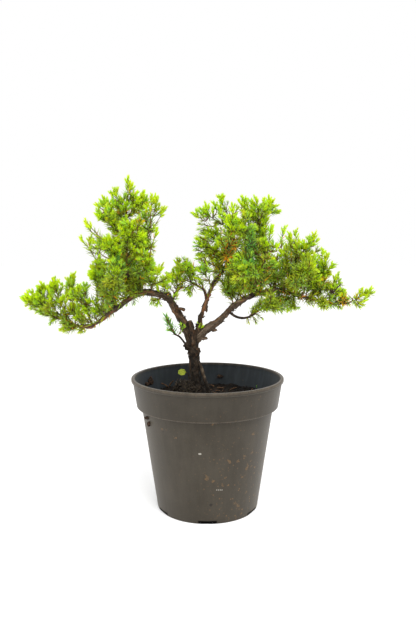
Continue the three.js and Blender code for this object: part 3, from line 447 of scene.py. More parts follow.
# Stems that fill the crown between the sprays: foot and tip
INNER_STEM_DOTS = [
    (236, 299, 227, 285), (240, 298, 233, 272), (246, 297, 242, 270), (252, 295, 250, 258),
    (250, 275, 245, 245), (262, 262, 240, 232), (262, 255, 250, 226), (258, 270, 238, 252),
    (270, 293, 272, 262), (282, 294, 286, 262), (292, 295, 298, 262), (305, 298, 312, 268),
    (318, 300, 322, 280), (330, 302, 332, 284), (140, 294, 138, 268), (125, 296, 122, 268),
    (112, 302, 108, 276), (150, 292, 150, 276), (118, 280, 112, 258), (132, 284, 134, 256),
    (95, 318, 92, 306), (76, 322, 70, 304), (104, 314, 102, 304), (56, 312, 52, 298),
    (165, 295, 166, 276), (178, 290, 176, 274), (188, 283, 190, 272), (146, 262, 144, 232),
    (140, 250, 139, 222), (150, 240, 146, 212), (150, 232, 152, 206), (232, 300, 226, 276),
    (240, 290, 228, 268), (244, 280, 232, 262), (318, 285, 314, 258), (322, 290, 326, 262),
    (222, 270, 207, 262), (225, 262, 210, 252), (226, 256, 206, 244), (251, 316, 262, 302),
    (268, 296, 266, 308), (273, 296, 276, 307), (279, 297, 281, 305), (287, 297, 289, 307),
    (293, 299, 294, 305), (300, 300, 292, 280), (98, 300, 96, 282), (108, 262, 98, 250),
    (104, 250, 92, 246), (40, 305, 30, 299), (48, 312, 44, 300), (86, 318, 84, 300),
    (132, 236, 131, 217), (136, 238, 139, 218), (250, 230, 246, 210), (246, 232, 243, 213),
    (116, 298, 114, 282), (100, 312, 104, 296), (82, 326, 80, 310), (68, 322, 64, 308),
    (305, 262, 306, 250), (309, 280, 308, 254),
]

# Bluish parts of the crown: middle, half width and half height
BLUISH_STREAKS = [((32.8, 222.4, 0), 5, 17), ((-29.6, 160, -11), 9, 15)]

# Places on the pane where needles have died: right, up and radius
DEAD_SPOTS = [
    (18.4, 222.4, 6), (16.4, 214.6, 5), (21, 228, 3), (5.4, 214, 2.4), (12.4, 204, 3),
    (48, 203.2, 2.4), (69.4, 186.4, 3), (92, 193.6, 5), (98, 193, 3), (-69.6, 248.8, 3),
    (-53.8, 241.6, 3), (-66, 214, 2.6), (-62, 204, 2.6), (60, 184, 4), (76, 183, 4),
    (108, 179, 5),
]

# Tufts straight on a limb: where they start and end along it, and how far apart they stand
LIMB_TUFTS = {
    "left_top": (0.12, 1.0, 3.0), "left": (0.42, 1.0, 2.6), "twig_a": (0.5, 1.0, 3.0),
    "twig_c": (0.5, 1.0, 3.0), "middle": (0.52, 1.0, 3.0), "right_up": (0.08, 1.0, 3.0),
    "right_out": (0.08, 1.0, 3.2), "right": (0.42, 1.0, 2.6),
}
OTHER_TUFTS = (0.1, 1.0, 3.2)

# Limbs that needles clothe from a share of their length on
CLOTHED_LIMBS = {"left": 0.64, "right": 0.62}
OTHER_CLOTHED = 0.3

# Limbs that carry single shoots only, and the piece that holds those
OTHER_CARRIERS = {"trunk": "foliage_middle", "trunk_sprig": "foliage_middle",
                  "curved_twig": "foliage_right_edge"}

# Sprays, by number from 1, whose tips are as old as the needles inside the crown
OLD_SPRAYS = {20, 21, 27, 28, 29, 34, 51, 52, 53, 54}

# How foliage grows: a shoot's age goes from 0 at the crown's tips to 1 this far inside
AGE_REACH = 26
SHORTEST_SHOOT = 2.6
FINGER_END = 1.0
SPRAY_END = 2.0
TWIG_END = 4.8
GAP_FULLNESS = 0.15
DEAD_SPOT_SHARE = 0.8
BUD_LENGTHS = (2.6, 4.0)
BUD_LEAN = math.radians(38)
BUDS_FROM, BUDS_OVER = 1.4, 5.4
SIDE_LENGTH_AT_TIP = 3.2
SIDE_GAIN = 0.62
BRANCHING_LENGTH = 6
SMALL_SPACING = 3.2
SMALL_LENGTHS = (2.4, 6.0)
TUFT_LENGTHS = (7, 14)
TUFT_LEANS = (45, 75)
WHORL_NEEDLES = 3
WHORL_TURN = math.radians(30)
BACK_PENALTY = 0.06

# Weed growing at the foot of the trunk
WEED_LEAF_CENTRE = (-20.8, 121.4, 2.6)
WEED_STALK = [(-15, 106, 8), (-15.2, 116, 7.6), (-16, 120.4, 6), WEED_LEAF_CENTRE]
WEED_STALK_RADIUS = 0.45
WEED_LEAF_SIZE = (3.1, 2.7)
WEED_LEAF_THICKNESS = 0.5
WEED_LEAF_TILT = math.radians(62)

# Half size of the matted roots by the trunk
MOUND_SIZE = np.array([10.5, 9, 8])

# Marks on the outside of the pot, by kind: right, up and radius
POT_MARKS = {
    "rust": [
        (-36.8, 76, 1.1), (-33.6, 76, 0.9), (-26.4, 68.8, 0.9), (4, 79.2, 1.0), (-0.8, 36.8, 1.7),
        (4, 34.4, 0.9), (12, 31.2, 0.8), (30.4, 25.6, 1.1), (24, 14.4, 1.9), (22.4, 4.8, 1.2),
        (36.8, 72, 1.1), (31.5, 47.6, 1.0), (34.4, 46.2, 1.1), (37.4, 45.6, 1.0), (17.6, 48.8, 0.9),
        (21.5, 16.4, 1.6), (25, 12, 1.3), (35.6, 72, 0.8), (31, 44.4, 1.6), (16.8, 50, 1.5),
        (24, 50, 1.2), (29, 54, 1.4), (35, 57, 1.3),
    ],
    "pale": [(-7, 56, 0.8), (-6, 56, 0.8), (7, 27.2, 0.5), (8.4, 27.2, 0.5), (9.8, 27.2, 0.5),
             (11.2, 27.2, 0.5)],
    "dark": [(-36, 74, 0.7), (2.4, 15.2, 1.5)],
}


def unit(vector):
    return vector / np.linalg.norm(vector)


def seen(point):
    """Moves a point seen on the pane along its line of sight to its depth."""
    right, up, depth = point
    rise = up - PANE_FOOT
    ahead = EYE_BACK + rise * math.sin(EYE_TILT)
    climb = rise * math.cos(EYE_TILT) - EYE_DISTANCE * math.sin(EYE_TILT)
    stretch = (depth + EYE_BACK) / ahead
    return np.array([PANE_SHIFT + right * stretch, depth, EYE_HEIGHT + climb * stretch])


def on_pane(point):
    """Where the eye sees a point on the pane: the reverse of seen."""
    x, y, z = point
    away, climb = y + EYE_BACK, z - EYE_HEIGHT
    ahead = away * math.cos(EYE_TILT) - climb * math.sin(EYE_TILT)
    rise = away * math.sin(EYE_TILT) + climb * math.cos(EYE_TILT)
    scale = EYE_DISTANCE / ahead
    return (x - PANE_SHIFT) * scale, rise * scale + PANE_FOOT


def from_dots(column, row, decimals=0):
    """The place on the pane, rounded in millimetres, of a dot of the picture."""
    return (round((column - FOOT_COLUMN) * DOT, decimals),
            round((FOOT_ROW - row) * DOT, decimals))


def is_inside(outline, right, up):
    """Whether a place on the pane lies in a closed outline."""
    ends = np.roll(outline, 1, axis=0)
    crosses = (outline[:, 1] > up) != (ends[:, 1] > up)
    share = (up - outline[:, 1]) / np.where(crosses, ends[:, 1] - outline[:, 1], 1)
    edge = outline[:, 0] + share * (ends[:, 0] - outline[:, 0])
    return bool(np.sum(crosses & (right < edge)) % 2)


def is_in_gap(right, up):
    return any(math.hypot(right - gap[0], up - gap[1]) < gap[2] for gap in CROWN_GAPS)


def is_leafy(point):
    """Whether the eye sees a point in the crown's outline and not in one of its gaps."""
    right, up = on_pane(point)
    if is_in_gap(right, up):
        return False
    return any(is_inside(outline, right, up) for outline in CROWN_OUTLINES)


def radius_at(radii, share):
    """Radius at a share of a limb's length, from the radii at its even stations."""
    return float(np.interp(share * (len(radii) - 1), range(len(radii)), radii))


class Path:
    """A smooth line, in millimetres, that is walked by shares of its length."""

    def __init__(self, points):
        self.known_frames = {}
        self.points = np.array(points, float)
        steps = np.linalg.norm(np.diff(self.points, axis=0), axis=1)
        self.reach = np.concatenate(([0.0], np.cumsum(steps)))
        self.length = float(self.reach[-1])

    def at(self, share):
        along = share * self.length
        return np.array([np.interp(along, self.reach, self.points[:, i]) for i in range(3)])

    def axis(self, share):
        step = 0.005
        return unit(self.at(min(1, share + step)) - self.at(max(0, share - step)))

    def stretch(self, start, end, count=8):
        return Path([self.at(start + (end - start) * i / count) for i in range(count + 1)])

    def frames(self, steps):
        """Even stations, each with its centre, axis and two cross directions that never twist."""
        if steps in self.known_frames:
            return self.known_frames[steps]
        found = []
        side = None
        for i in range(steps + 1):
            axis = self.axis(i / steps)
            if side is None:
                side = np.array([0.0, 0, 1] if abs(axis[2]) < 0.9 else [1.0, 0, 0])
            side = unit(side - axis * side.dot(axis))
            found.append((self.at(i / steps), axis, side, np.cross(axis, side)))
        self.known_frames[steps] = found
        return found


def smooth_path(points, steps=24):
    """The line through all points, with bends that follow their spacing."""
    points = [np.array(p, float) for p in points]
    ends = [2 * points[0] - points[1], *points, 2 * points[-1] - points[-2]]
    line = []
    for before, start, end, after in zip(ends, ends[1:], ends[2:], ends[3:]):
        gaps = [math.sqrt(np.linalg.norm(b - a))
                for a, b in ((before, start), (start, end), (end, after))]
        leave = ((start - before) / gaps[0] - (end - before) / (gaps[0] + gaps[1])
                 + (end - start) / gaps[1]) * gaps[1]
        arrive = ((end - start) / gaps[1] - (after - start) / (gaps[1] + gaps[2])
                  + (after - end) / gaps[2]) * gaps[1]
        for i in range(steps):
            t = i / steps
            line.append(start + leave * t + (3 * (end - start) - 2 * leave - arrive) * t * t
                        + (2 * (start - end) + leave + arrive) * t ** 3)
    return Path([*line, points[-1]])


def bent_path(*corners, steps=24):
    """A line that leaves its first corner towards the second and arrives from the last but one."""
    line = []
    for i in range(steps + 1):
        level = [np.array(c, float) for c in corners]
        while len(level) > 1:
            level = [a + (b - a) * i / steps for a, b in zip(level, level[1:])]
        line.append(level[0])
    return Path(line)


CROWN_OUTLINES = [np.array([from_dots(*dot) for dot in outline]) for outline in OUTLINE_DOTS]
CROWN_GAPS = [(*from_dots(column, row, 1), round(radius * DOT, 1))
              for column, row, radius in GAP_DOTS]
FINGERS = [(*from_dots(*dots[:2]), *from_dots(*dots[2:4], 1), dots[4]) for dots in FINGER_DOTS]
INNER_STEMS = [(*from_dots(*dots[:2]), *from_dots(*dots[2:])) for dots in INNER_STEM_DOTS]
LIMB_PATHS = {name: smooth_path([seen(p) for p in points]) for name, (_, points) in LIMBS.items()}


def spray_path(limb, along, tip, short_of_tip):
    """Path of one spray, from its limb to its tip: it turns up to the light."""
    path = LIMB_PATHS[limb]
    root, target = path.at(along), seen(tip)
    span = np.linalg.norm(target - root)
    chord = unit(target - root)
    leave = unit(chord + LEAVE_WITH_LIMB * path.axis(along))
    arrive = unit(chord + np.array([0, 0, ARRIVE_UPWARD if chord[2] > 0 else 0]))
    return bent_path(root, root + leave * span * LEAVE_SPAN,
                     target - arrive * span * ARRIVE_SPAN, target - arrive * short_of_tip)


def side_path(stem, share, turn, length, lean=SIDE_LEAN, forward=SIDE_FORWARD, lift=0.0):
    """Path of a side shoot: it leans out of its stem and bends forward, or up by the lift."""
    _, axis, side, cross = stem.frames(SIDE_STATIONS)[round(share * SIDE_STATIONS)]
    centre = stem.at(share)
    outward = side * math.cos(turn) + cross * math.sin(turn)
    leave = axis * math.cos(lean) + outward * math.sin(lean)
    ahead = unit(leave + forward * axis + np.array([0, 0, lift]))
    middle = centre + leave * length / 2
    return bent_path(centre, middle, middle + ahead * length / 2, steps=6)


def inner_radius(height):
    """Inner radius of the pot's wall at a height."""
    levels = [0, BODY_TOP[1], COLLAR_FOOT[1], LIP_BOTTOM]
    radii = [FOOT_RADIUS, BODY_TOP[0], COLLAR_FOOT[0], COLLAR_TOP_RADIUS]
    return float(np.interp(height, levels, radii)) - WALL


def soil_height(x, y):
    """Height of the soil: level at the wall, mounded round the trunk, and lumpy."""
    spread = ((x - MOUND_X) ** 2 + y ** 2) / MOUND_SPREAD ** 2
    lumps = math.sin(x * 0.31 + 1.3) * math.cos(y * 0.27) + 0.6 * math.sin(x * 0.13 - y * 0.41)
    return SOIL_LEVEL + MOUND_HEIGHT * math.exp(-spread) + SOIL_LUMP * lumps


def where_met(right, up, is_past, near, far):
    """The place on a line of sight, between two depths, where a surface is met."""
    for _ in range(40):
        middle = (near + far) / 2
        if is_past(*seen((right, up, middle))):
            far = middle
        else:
            near = middle
    return seen((right, up, near))


def on_soil(right, up):
    return where_met(right, up, lambda x, y, z: z < soil_height(x, y), -40, 56)


def on_far_wall(right, up):
    return where_met(right, up, lambda x, y, z: math.hypot(x, y) > inner_radius(z), 0, 62)


def on_pot_front(right, up):
    return where_met(right, up, lambda x, y, z: math.hypot(x, y) < inner_radius(z) + WALL, -64, 0)


def maths(operation, is_turned=False):
    """A method that adds one Math node; in a turned one the other value comes first."""
    def add_maths(self, *others):
        values = (*others, self) if is_turned else (self, *others)
        return add_node(self.tree, "ShaderNodeMath", {"operation": operation},
                        dict(enumerate(values)))
    return add_maths


class Wire:
    """One value in a node tree. Sums written on it add Math nodes."""

    __add__ = __radd__ = maths("ADD")
    __mul__ = __rmul__ = maths("MULTIPLY")
    __sub__, __rsub__ = maths("SUBTRACT"), maths("SUBTRACT", is_turned=True)
    __truediv__, __rtruediv__ = maths("DIVIDE"), maths("DIVIDE", is_turned=True)
    __gt__ = maths("GREATER_THAN")
    maximum, minimum, modulo = maths("MAXIMUM"), maths("MINIMUM"), maths("MODULO")
    absolute, fract, arctan2 = maths("ABSOLUTE"), maths("FRACT"), maths("ARCTAN2")

    def __init__(self, tree, socket):
        self.tree, self.socket = tree, socket

    def other(self, name):
        return Wire(self.tree, pick(self.socket.node.outputs, name))

    def clamp(self):
        return self.maximum(0.0).minimum(1.0)

    def ease(self, low, high, start=0.0, end=1.0):
        """Goes smoothly from start to end while the value goes from low to high."""
        return add_node(self.tree, "ShaderNodeMapRange", {"interpolation_type": "SMOOTHSTEP"},
                        {"Value": self, "From Min": low, "From Max": high,
                         "To Min": start, "To Max": end})


def pick(sockets, key):
    """A node's socket by its number, or by its name among those in use."""
    if isinstance(key, int):
        return sockets[key]
    return next(s for s in sockets if s.enabled and (key is None or s.name == key))


def add_node(tree, kind, settings=None, inputs=None, output=None):
    """Adds any node: its settings come first, then the values or links of its sockets."""
    node = tree.nodes.new(kind)
    for name, value in (settings or {}).items():
        if name == "stops":
            ramp = node.color_ramp
            while len(ramp.elements) < len(value):
                ramp.elements.new(0.5)
            for element, (place, colour) in zip(ramp.elements, value):
                element.position, element.color = place, (*colour, 1)
        else:
            setattr(node, name, value)
    for name, value in (inputs or {}).items():
        socket = pick(node.inputs, name)
        for item in value if isinstance(value, list) else [value]:
            if isinstance(item, Wire):
                tree.links.new(item.socket, socket)
            else:
                socket.default_value = item
    return Wire(tree, pick(node.outputs, output)) if node.outputs else None


class Finish:
    """A procedural material under construction."""

    def __init__(self, name):
        self.material = bpy.data.materials.new(name)
        self.material.use_nodes = True
        self.tree = self.material.node_tree
        self.shader = next(n for n in self.tree.nodes if n.type == "BSDF_PRINCIPLED")
        self.place = self.node("ShaderNodeTexCoord", output="Object")

    def node(self, kind, settings=None, inputs=None, output=None):
        return add_node(self.tree, kind, settings, inputs, output)

    def trait(self, name, output="Fac"):
        return self.node("ShaderNodeAttribute", {"attribute_name": name}, output=output)

    def vector(self, operation, *values, output=None):
        return self.node("ShaderNodeVectorMath", {"operation": operation},
                         dict(enumerate(values)), output)

    def away_from(self, spot):
        """Distance in metres from a place in millimetres."""
        return self.vector("DISTANCE", self.place, tuple(spot * MM), output="Value")

    def grain(self, scale, detail=3.0, stretch=None, place=None):
        """Cloudy noise from 0 to 1 at a scale per metre, stretched along an axis if need be."""
        place = place or self.place
        if stretch:
            place = self.vector("MULTIPLY", place, stretch)
        return self.node("ShaderNodeTexNoise", {"noise_dimensions": "3D"},
                         {"Vector": place, "Scale": scale, "Detail": detail, "Roughness": 0.55})

    def cells(self, scale):
        return self.node("ShaderNodeTexVoronoi", {"feature": "F1"},
                         {"Vector": self.place, "Scale": scale}, "Distance")

    def mix(self, factor, first, second):
        """Colour between two colours; plain ones are given as three numbers."""
        inputs = {"Factor": factor}
        for key, colour in (("A", first), ("B", second)):
            inputs[key] = colour if isinstance(colour, Wire) else (*colour, 1)
        return self.node("ShaderNodeMix", {"data_type": "RGBA"}, inputs, "Result")

    def ramp(self, value, *stops):
        return self.node("ShaderNodeValToRGB", {"stops": stops}, {"Fac": value}, "Color")

    def bump(self, height, depth, strength=1.0):
        return self.node("ShaderNodeBump", None,
                         {"Height": height, "Distance": depth, "Strength": strength})

    def finish(self, colour, roughness, normal=None, constants=None, metallic=None):
        for name, value in (("Base Color", colour), ("Roughness", roughness), ("Normal", normal),
                            ("Metallic", metallic)):
            if isinstance(value, Wire):
                self.tree.links.new(value.socket, self.shader.inputs[name])
            elif value is not None:
                self.shader.inputs[name].default_value = value
        for name, value in (constants or {}).items():
            self.shader.inputs[name].default_value = value
        return self.material


def length_setting(name, description, millimetres):
    return FloatProperty(name=name, description=description, default=millimetres * MM,
                         unit="LENGTH")


def colour_setting(name, description, paint):
    return FloatVectorProperty(name=name, description=description, default=paint,
                               subtype="COLOR")


def mesh_object(name, vertices, faces=(), edges=(), traits=None):
    """An object from points in millimetres, with named values on its points."""
    mesh = bpy.data.meshes.new(name)
    points = np.asarray(vertices, float) * MM
    mesh.from_pydata(points.tolist(), edges, faces)
    for trait, values in (traits or {}).items():
        add_trait(mesh, trait, values)
    mesh.update()
    piece = bpy.data.objects.new(name, mesh)
    bpy.context.scene.collection.objects.link(piece)
    return piece


def add_trait(mesh, name, values):
    values = np.asarray(values, np.float32)
    kind = "FLOAT_VECTOR" if values.ndim == 2 else "FLOAT"
    attribute = mesh.attributes.new(name, kind, "POINT")
    attribute.data.foreach_set("vector" if values.ndim == 2 else "value", values.ravel())


def settled(piece, name):
    """Replaces an object by one with its modifiers' result as a plain mesh."""
    graph = bpy.context.evaluated_depsgraph_get()
    mesh = bpy.data.meshes.new_from_object(piece.evaluated_get(graph), depsgraph=graph)
    mesh.name = name
    bpy.data.objects.remove(piece)
    result = bpy.data.objects.new(name, mesh)
    bpy.context.scene.collection.objects.link(result)
    return result


def tidy_normals(mesh):
    """Merges doubles and turns all faces outwards."""
    shape = bmesh.new()
    shape.from_mesh(mesh)
    bmesh.ops.remove_doubles(shape, verts=shape.verts, dist=1e-6)
    bmesh.ops.recalc_face_normals(shape, faces=shape.faces)
    shape.to_mesh(mesh)
    shape.free()


def adopt(piece, nodes, material=None, smooth=None):
    """Finishes a piece: its shading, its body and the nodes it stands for."""
    if material is not None:
        piece.data.materials.clear()
        piece.data.materials.append(material)
    if smooth is not None:
        piece.data.shade_smooth()
        piece.data.set_sharp_from_angle(angle=math.radians(smooth))
    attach(piece, BODY)
    if nodes:
        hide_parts(*nodes)


def growth_tree(name, sizes):
    """An empty Geometry Nodes tree with named inputs, and the wires of those inputs."""
    tree = bpy.data.node_groups.new(name, "GeometryNodeTree")
    tree.interface.new_socket("Geometry", in_out="INPUT", socket_type="NodeSocketGeometry")
    tree.interface.new_socket("Geometry", in_out="OUTPUT", socket_type="NodeSocketGeometry")
    kinds = {float: "NodeSocketFloat", int: "NodeSocketInt"}
    for label, value in sizes.items():
        kind = kinds.get(type(value), "NodeSocketMaterial")
        socket = tree.interface.new_socket(label, in_out="INPUT", socket_type=kind)
        if kind != "NodeSocketMaterial":
            socket.default_value = value
    entry = tree.nodes.new("NodeGroupInput")
    return tree, {s.name: Wire(tree, s) for s in entry.outputs if s.name}


def grow(piece, tree, sizes, name):
    """Runs a Geometry Nodes tree on an object and keeps the result as a plain mesh."""
    modifier = piece.modifiers.new(name, "NODES")
    modifier.node_group = tree
    sockets = {s.name: s.identifier for s in tree.interface.items_tree
               if s.item_type == "SOCKET" and s.in_out == "INPUT"}
    for label, value in sizes.items():
        modifier[sockets[label]] = value
    return settled(piece, name)


def chance(tree, low, high, seed):
    return add_node(tree, "FunctionNodeRandomValue", {"data_type": "FLOAT"},
                    {"Min": low, "Max": high, "Seed": seed})


def keep_trait(tree, geometry, name, value):
    return add_node(tree, "GeometryNodeStoreNamedAttribute",
                    {"data_type": "FLOAT", "domain": "POINT"},
                    {"Geometry": geometry, "Name": name, "Value": value})


def named(tree, name):
    return add_node(tree, "GeometryNodeInputNamedAttribute", {"data_type": "FLOAT"},
                    {"Name": name}, "Attribute")


def turned(tree, rotation, axis, angle):
    """A rotation turned further about one of its own axes."""
    step = add_node(tree, "FunctionNodeAxisAngleToRotation", None, {"Axis": axis, "Angle": angle})
    return add_node(tree, "FunctionNodeRotateRotation", {"rotation_space": "LOCAL"},
                    {"Rotation": rotation, "Rotate By": step})


def blade_mesh(tree, length, width, thickness, bend):
    """One needle: three-sided, keeled below, widest before its middle and sharp at both ends."""
    spindle = add_node(tree, "GeometryNodeMeshUVSphere", None,
                       {"Segments": 3, "Rings": 2, "Radius": 0.5}, "Mesh")
    spot = add_node(tree, "GeometryNodeInputPosition")
    parts = add_node(tree, "ShaderNodeSeparateXYZ", None, {0: spot}, "X")
    x, y, share = parts, parts.other("Y"), parts.other("Z") + 0.5
    spindle = keep_trait(tree, spindle, "outward", share)
    along = share * (share * 0.6 + 0.4)
    shape = add_node(tree, "ShaderNodeCombineXYZ", None, {
        "X": y * width * 1.15,
        "Y": along * along * length * bend - x * thickness * 1.33,
        "Z": along * length,
    })
    return add_node(tree, "GeometryNodeSetPosition", None, {"Geometry": spindle, "Position": shape})


def make_needle_tree(sizes):
    """Whorls of needles on every shoot, short and upright at its tip, and its stem."""
    tree, size = growth_tree("needles_on_shoots", sizes)
    curve = add_node(tree, "GeometryNodeMeshToCurve", None, {"Mesh": size["Geometry"]})
    walked = add_node(tree, "GeometryNodeSplineParameter", output="Length")
    whole = add_node(tree, "GeometryNodeSplineLength", output="Length")
    curve = keep_trait(tree, curve, "from_tip", whole - walked)

    points = add_node(tree, "GeometryNodeCurveToPoints", {"mode": "LENGTH"},
                      {"Curve": curve, "Length": size["Whorl Step"]}, "Points")
    from_tip = named(tree, "from_tip") / named(tree, "vigour")
    from_tip = from_tip + named(tree, "age") * size["Old Tip"]
    whorl = add_node(tree, "GeometryNodeInputIndex")
    spots = keep_trait(tree, points, "whorl", whorl)
    is_spare = whorl.modulo(3.0) > 0.5
    is_thinned = is_spare * (from_tip > size["Tip Length"] * 0.4)
    is_bare = chance(tree, 0.0, 1.0, size["Seed"]) > named(tree, "fullness")
    spots = add_node(tree, "GeometryNodeDeleteGeometry", {"domain": "POINT"},
                     {"Geometry": spots, "Selection": is_thinned.maximum(is_bare)})
    spots = add_node(tree, "GeometryNodeDuplicateElements", {"domain": "POINT"},
                     {"Geometry": spots, "Amount": WHORL_NEEDLES}, "Geometry")
    member = spots.other("Duplicate Index")

    grown = from_tip.ease(0.0, size["Tip Length"])
    ripe = named(tree, "age") + grown * 0.42 + chance(tree, -0.12, 0.12, size["Seed"] + 1)
    spots = keep_trait(tree, spots, "ripe", ripe.clamp())
    spots = keep_trait(tree, spots, "tint", chance(tree, 0.0, 1.0, size["Seed"] + 2))

    upright = add_node(tree, "FunctionNodeAlignRotationToVector", {"axis": "Z"},
                       {"Vector": points.other("Tangent")})
    spin = member * (2 * math.pi / WHORL_NEEDLES) + named(tree, "whorl") * WHORL_TURN
    lean = from_tip.ease(size["Tip Length"] * 0.2, size["Tip Length"] * 1.1,
                         size["Tip Lean"], size["Needle Lean"])
    lean = lean * chance(tree, 0.78, 1.22, size["Seed"] + 3)
    rotation = turned(tree, upright, (0, 0, 1), spin + chance(tree, -0.3, 0.3, size["Seed"] + 4))
    rotation = turned(tree, rotation, (1, 0, 0), lean)
    stretch = from_tip.ease(0.0, size["Tip Length"], size["Tip Needle Share"], 1.0)
    stretch = stretch * chance(tree, 0.8, 1.1, size["Seed"] + 5)
    scale = add_node(tree, "ShaderNodeCombineXYZ", None,
                     {"X": stretch * 0.3 + 0.7, "Y": 1.0, "Z": stretch})
    blade = blade_mesh(tree, size["Needle Length"], size["Needle Width"],
                       size["Needle Thickness"], size["Needle Bend"])
    needles = add_node(tree, "GeometryNodeInstanceOnPoints", None,
                       {"Points": spots, "Instance": blade, "Rotation": rotation, "Scale": scale})
    needles = add_node(tree, "GeometryNodeRealizeInstances", None, {"Geometry": needles})

    taper = from_tip.ease(0.0, size["Tip Length"] * 2.0, 0.55, 1.0)
    ring = add_node(tree, "GeometryNodeCurvePrimitiveCircle", {"mode": "RADIUS"},
                    {"Resolution": 4, "Radius": 1.0}, "Curve")
    stem = add_node(tree, "GeometryNodeCurveToMesh", None,
                    {"Curve": curve, "Profile Curve": ring, "Fill Caps": True,
                     "Scale": size["Stem Radius"] * taper})
    stem = keep_trait(tree, stem, "stem", 1.0)
    stem = keep_trait(tree, stem, "ripe", (named(tree, "age") + 0.35).clamp())
    whole = add_node(tree, "GeometryNodeJoinGeometry", None, {"Geometry": [needles, stem]})
    painted = add_node(tree, "GeometryNodeSetMaterial", None,
                       {"Geometry": whole, "Material": size["Material"]})
    add_node(tree, "NodeGroupOutput", None, {"Geometry": painted})
    return tree


def trimmed(path, checks=6):
    """The part of a shoot that the crown's outline leaves, or None where that is too short."""
    for i in range(1, checks + 1):
        if not is_leafy(path.at(i / checks)):
            if i == 1:
                return None
            path = path.stretch(0, (i - 1) / checks)
            break
    return path if path.length > SHORTEST_SHOOT else None


def make_tip_tree():
    """The crown's young tips on the pane, for a quick search of the nearest."""
    tips = [spray[2][:2] for i, spray in enumerate(SPRAYS) if i + 1 not in OLD_SPRAYS]
    tips += [(f[2], f[3]) for f in FINGERS if f[3] > f[1] and f[4] > 1]
    tree = KDTree(len(tips))
    for i, tip in enumerate(tips):
        tree.insert((*tip, 0), i)
    tree.balance()
    return tree


TIP_TREE = make_tip_tree()


def age_at(point):
    """Age of a shoot's tip: 0 at the crown's young tips and 1 far from all of them."""
    _, _, away = TIP_TREE.find((*on_pane(point), 0))
    return min(1.0, away / AGE_REACH)


def dead_share(point):
    right, up = on_pane(point)
    return max(0.0, *(1 - math.hypot(right - s[0], up - s[1]) / s[2] for s in DEAD_SPOTS))


class Shoots:
    """The lines of many leafy shoots, each point with its age and other traits."""

    def __init__(self):
        self.points, self.edges = [], []
        self.traits = {"age": [], "fullness": [], "dead": [], "vigour": [], "hue": []}
        self.draw = random.Random(7)

    def add(self, path, age, fullness=1.0, dead=0.0, vigour=1.0, count=4):
        """A trait is one number, or a pair for the shoot's start and tip."""
        start, hue = len(self.points), self.draw.random()
        for i in range(count + 1):
            share = i / count
            point = path.at(share)
            self.points.append(point)
            traits = {"age": age, "fullness": fullness, "dead": dead, "vigour": vigour, "hue": hue}
            for name, value in traits.items():
                low, high = value if isinstance(value, tuple) else (value, value)
                self.traits[name].append(low + (high - low) * share)
            self.traits["dead"][-1] += DEAD_SPOT_SHARE * dead_share(point)
            if is_in_gap(*on_pane(point)):
                self.traits["fullness"][-1] *= GAP_FULLNESS
        self.edges += [(start + i, start + i + 1) for i in range(count)]


def add_buds(shoots, path, count, age, draw):
    """Small side buds just below a shoot's tip."""
    turn = draw.uniform(0, 2 * math.pi)
    for i in range(count):
        turn += GOLDEN_TURN
        share = max(0.1, 1 - (BUDS_FROM + BUDS_OVER * (i + 0.5) / count) / path.length)
        bud = side_path(path, share, turn, draw.uniform(*BUD_LENGTHS), BUD_LEAN, 0.5, 0.3)
        shoots.add(bud, age, vigour=0.9, count=2)


def bush_out(shoots, stem, turn, draw, spacing=2.4, longest=15.0, first=0.15, older=0.0,
             fullness=1.0, dead=0.0):
    """Covers a stem with side shoots that shorten to its tip, and with small ones on those."""
    along = stem.length * first
    while along < stem.length - 1.6:
        share = along / stem.length
        length = min(longest, SIDE_LENGTH_AT_TIP + SIDE_GAIN * (stem.length - along))
        length *= draw.uniform(0.7, 1.08)
        turn += GOLDEN_TURN
        lean = SIDE_LEAN * draw.uniform(0.75, 1.2)
        side = side_path(stem, share, turn, length, lean, draw.uniform(0.2, 0.6),
                         draw.uniform(0.1, 0.35))
        along += spacing * draw.uniform(0.75, 1.3)
        side = trimmed(side)
        if side is None:
            continue
        age = min(1.0, max(0.0, age_at(side.at(1)) + older + draw.uniform(-0.1, 0.08)))
        shoots.add(side, (min(1.0, age + 0.25), age), fullness, dead)
        if side.length < BRANCHING_LENGTH:
            continue
        for _ in range(int(side.length / SMALL_SPACING)):
            spot = draw.uniform(0.3, 0.88)
            reach = min(SMALL_LENGTHS[1], SMALL_LENGTHS[0] + 0.5 * side.length * (1 - spot))
            reach *= draw.uniform(0.8, 1.1)
            small = trimmed(side_path(side, spot, draw.uniform(0, 2 * math.pi), reach,
                                      SIDE_LEAN * draw.uniform(0.7, 1.1), 0.3, 0.2), 2)
            if small is not None:
                shoots.add(small, min(1, age + draw.uniform(0, 0.1)), fullness, dead, count=2)


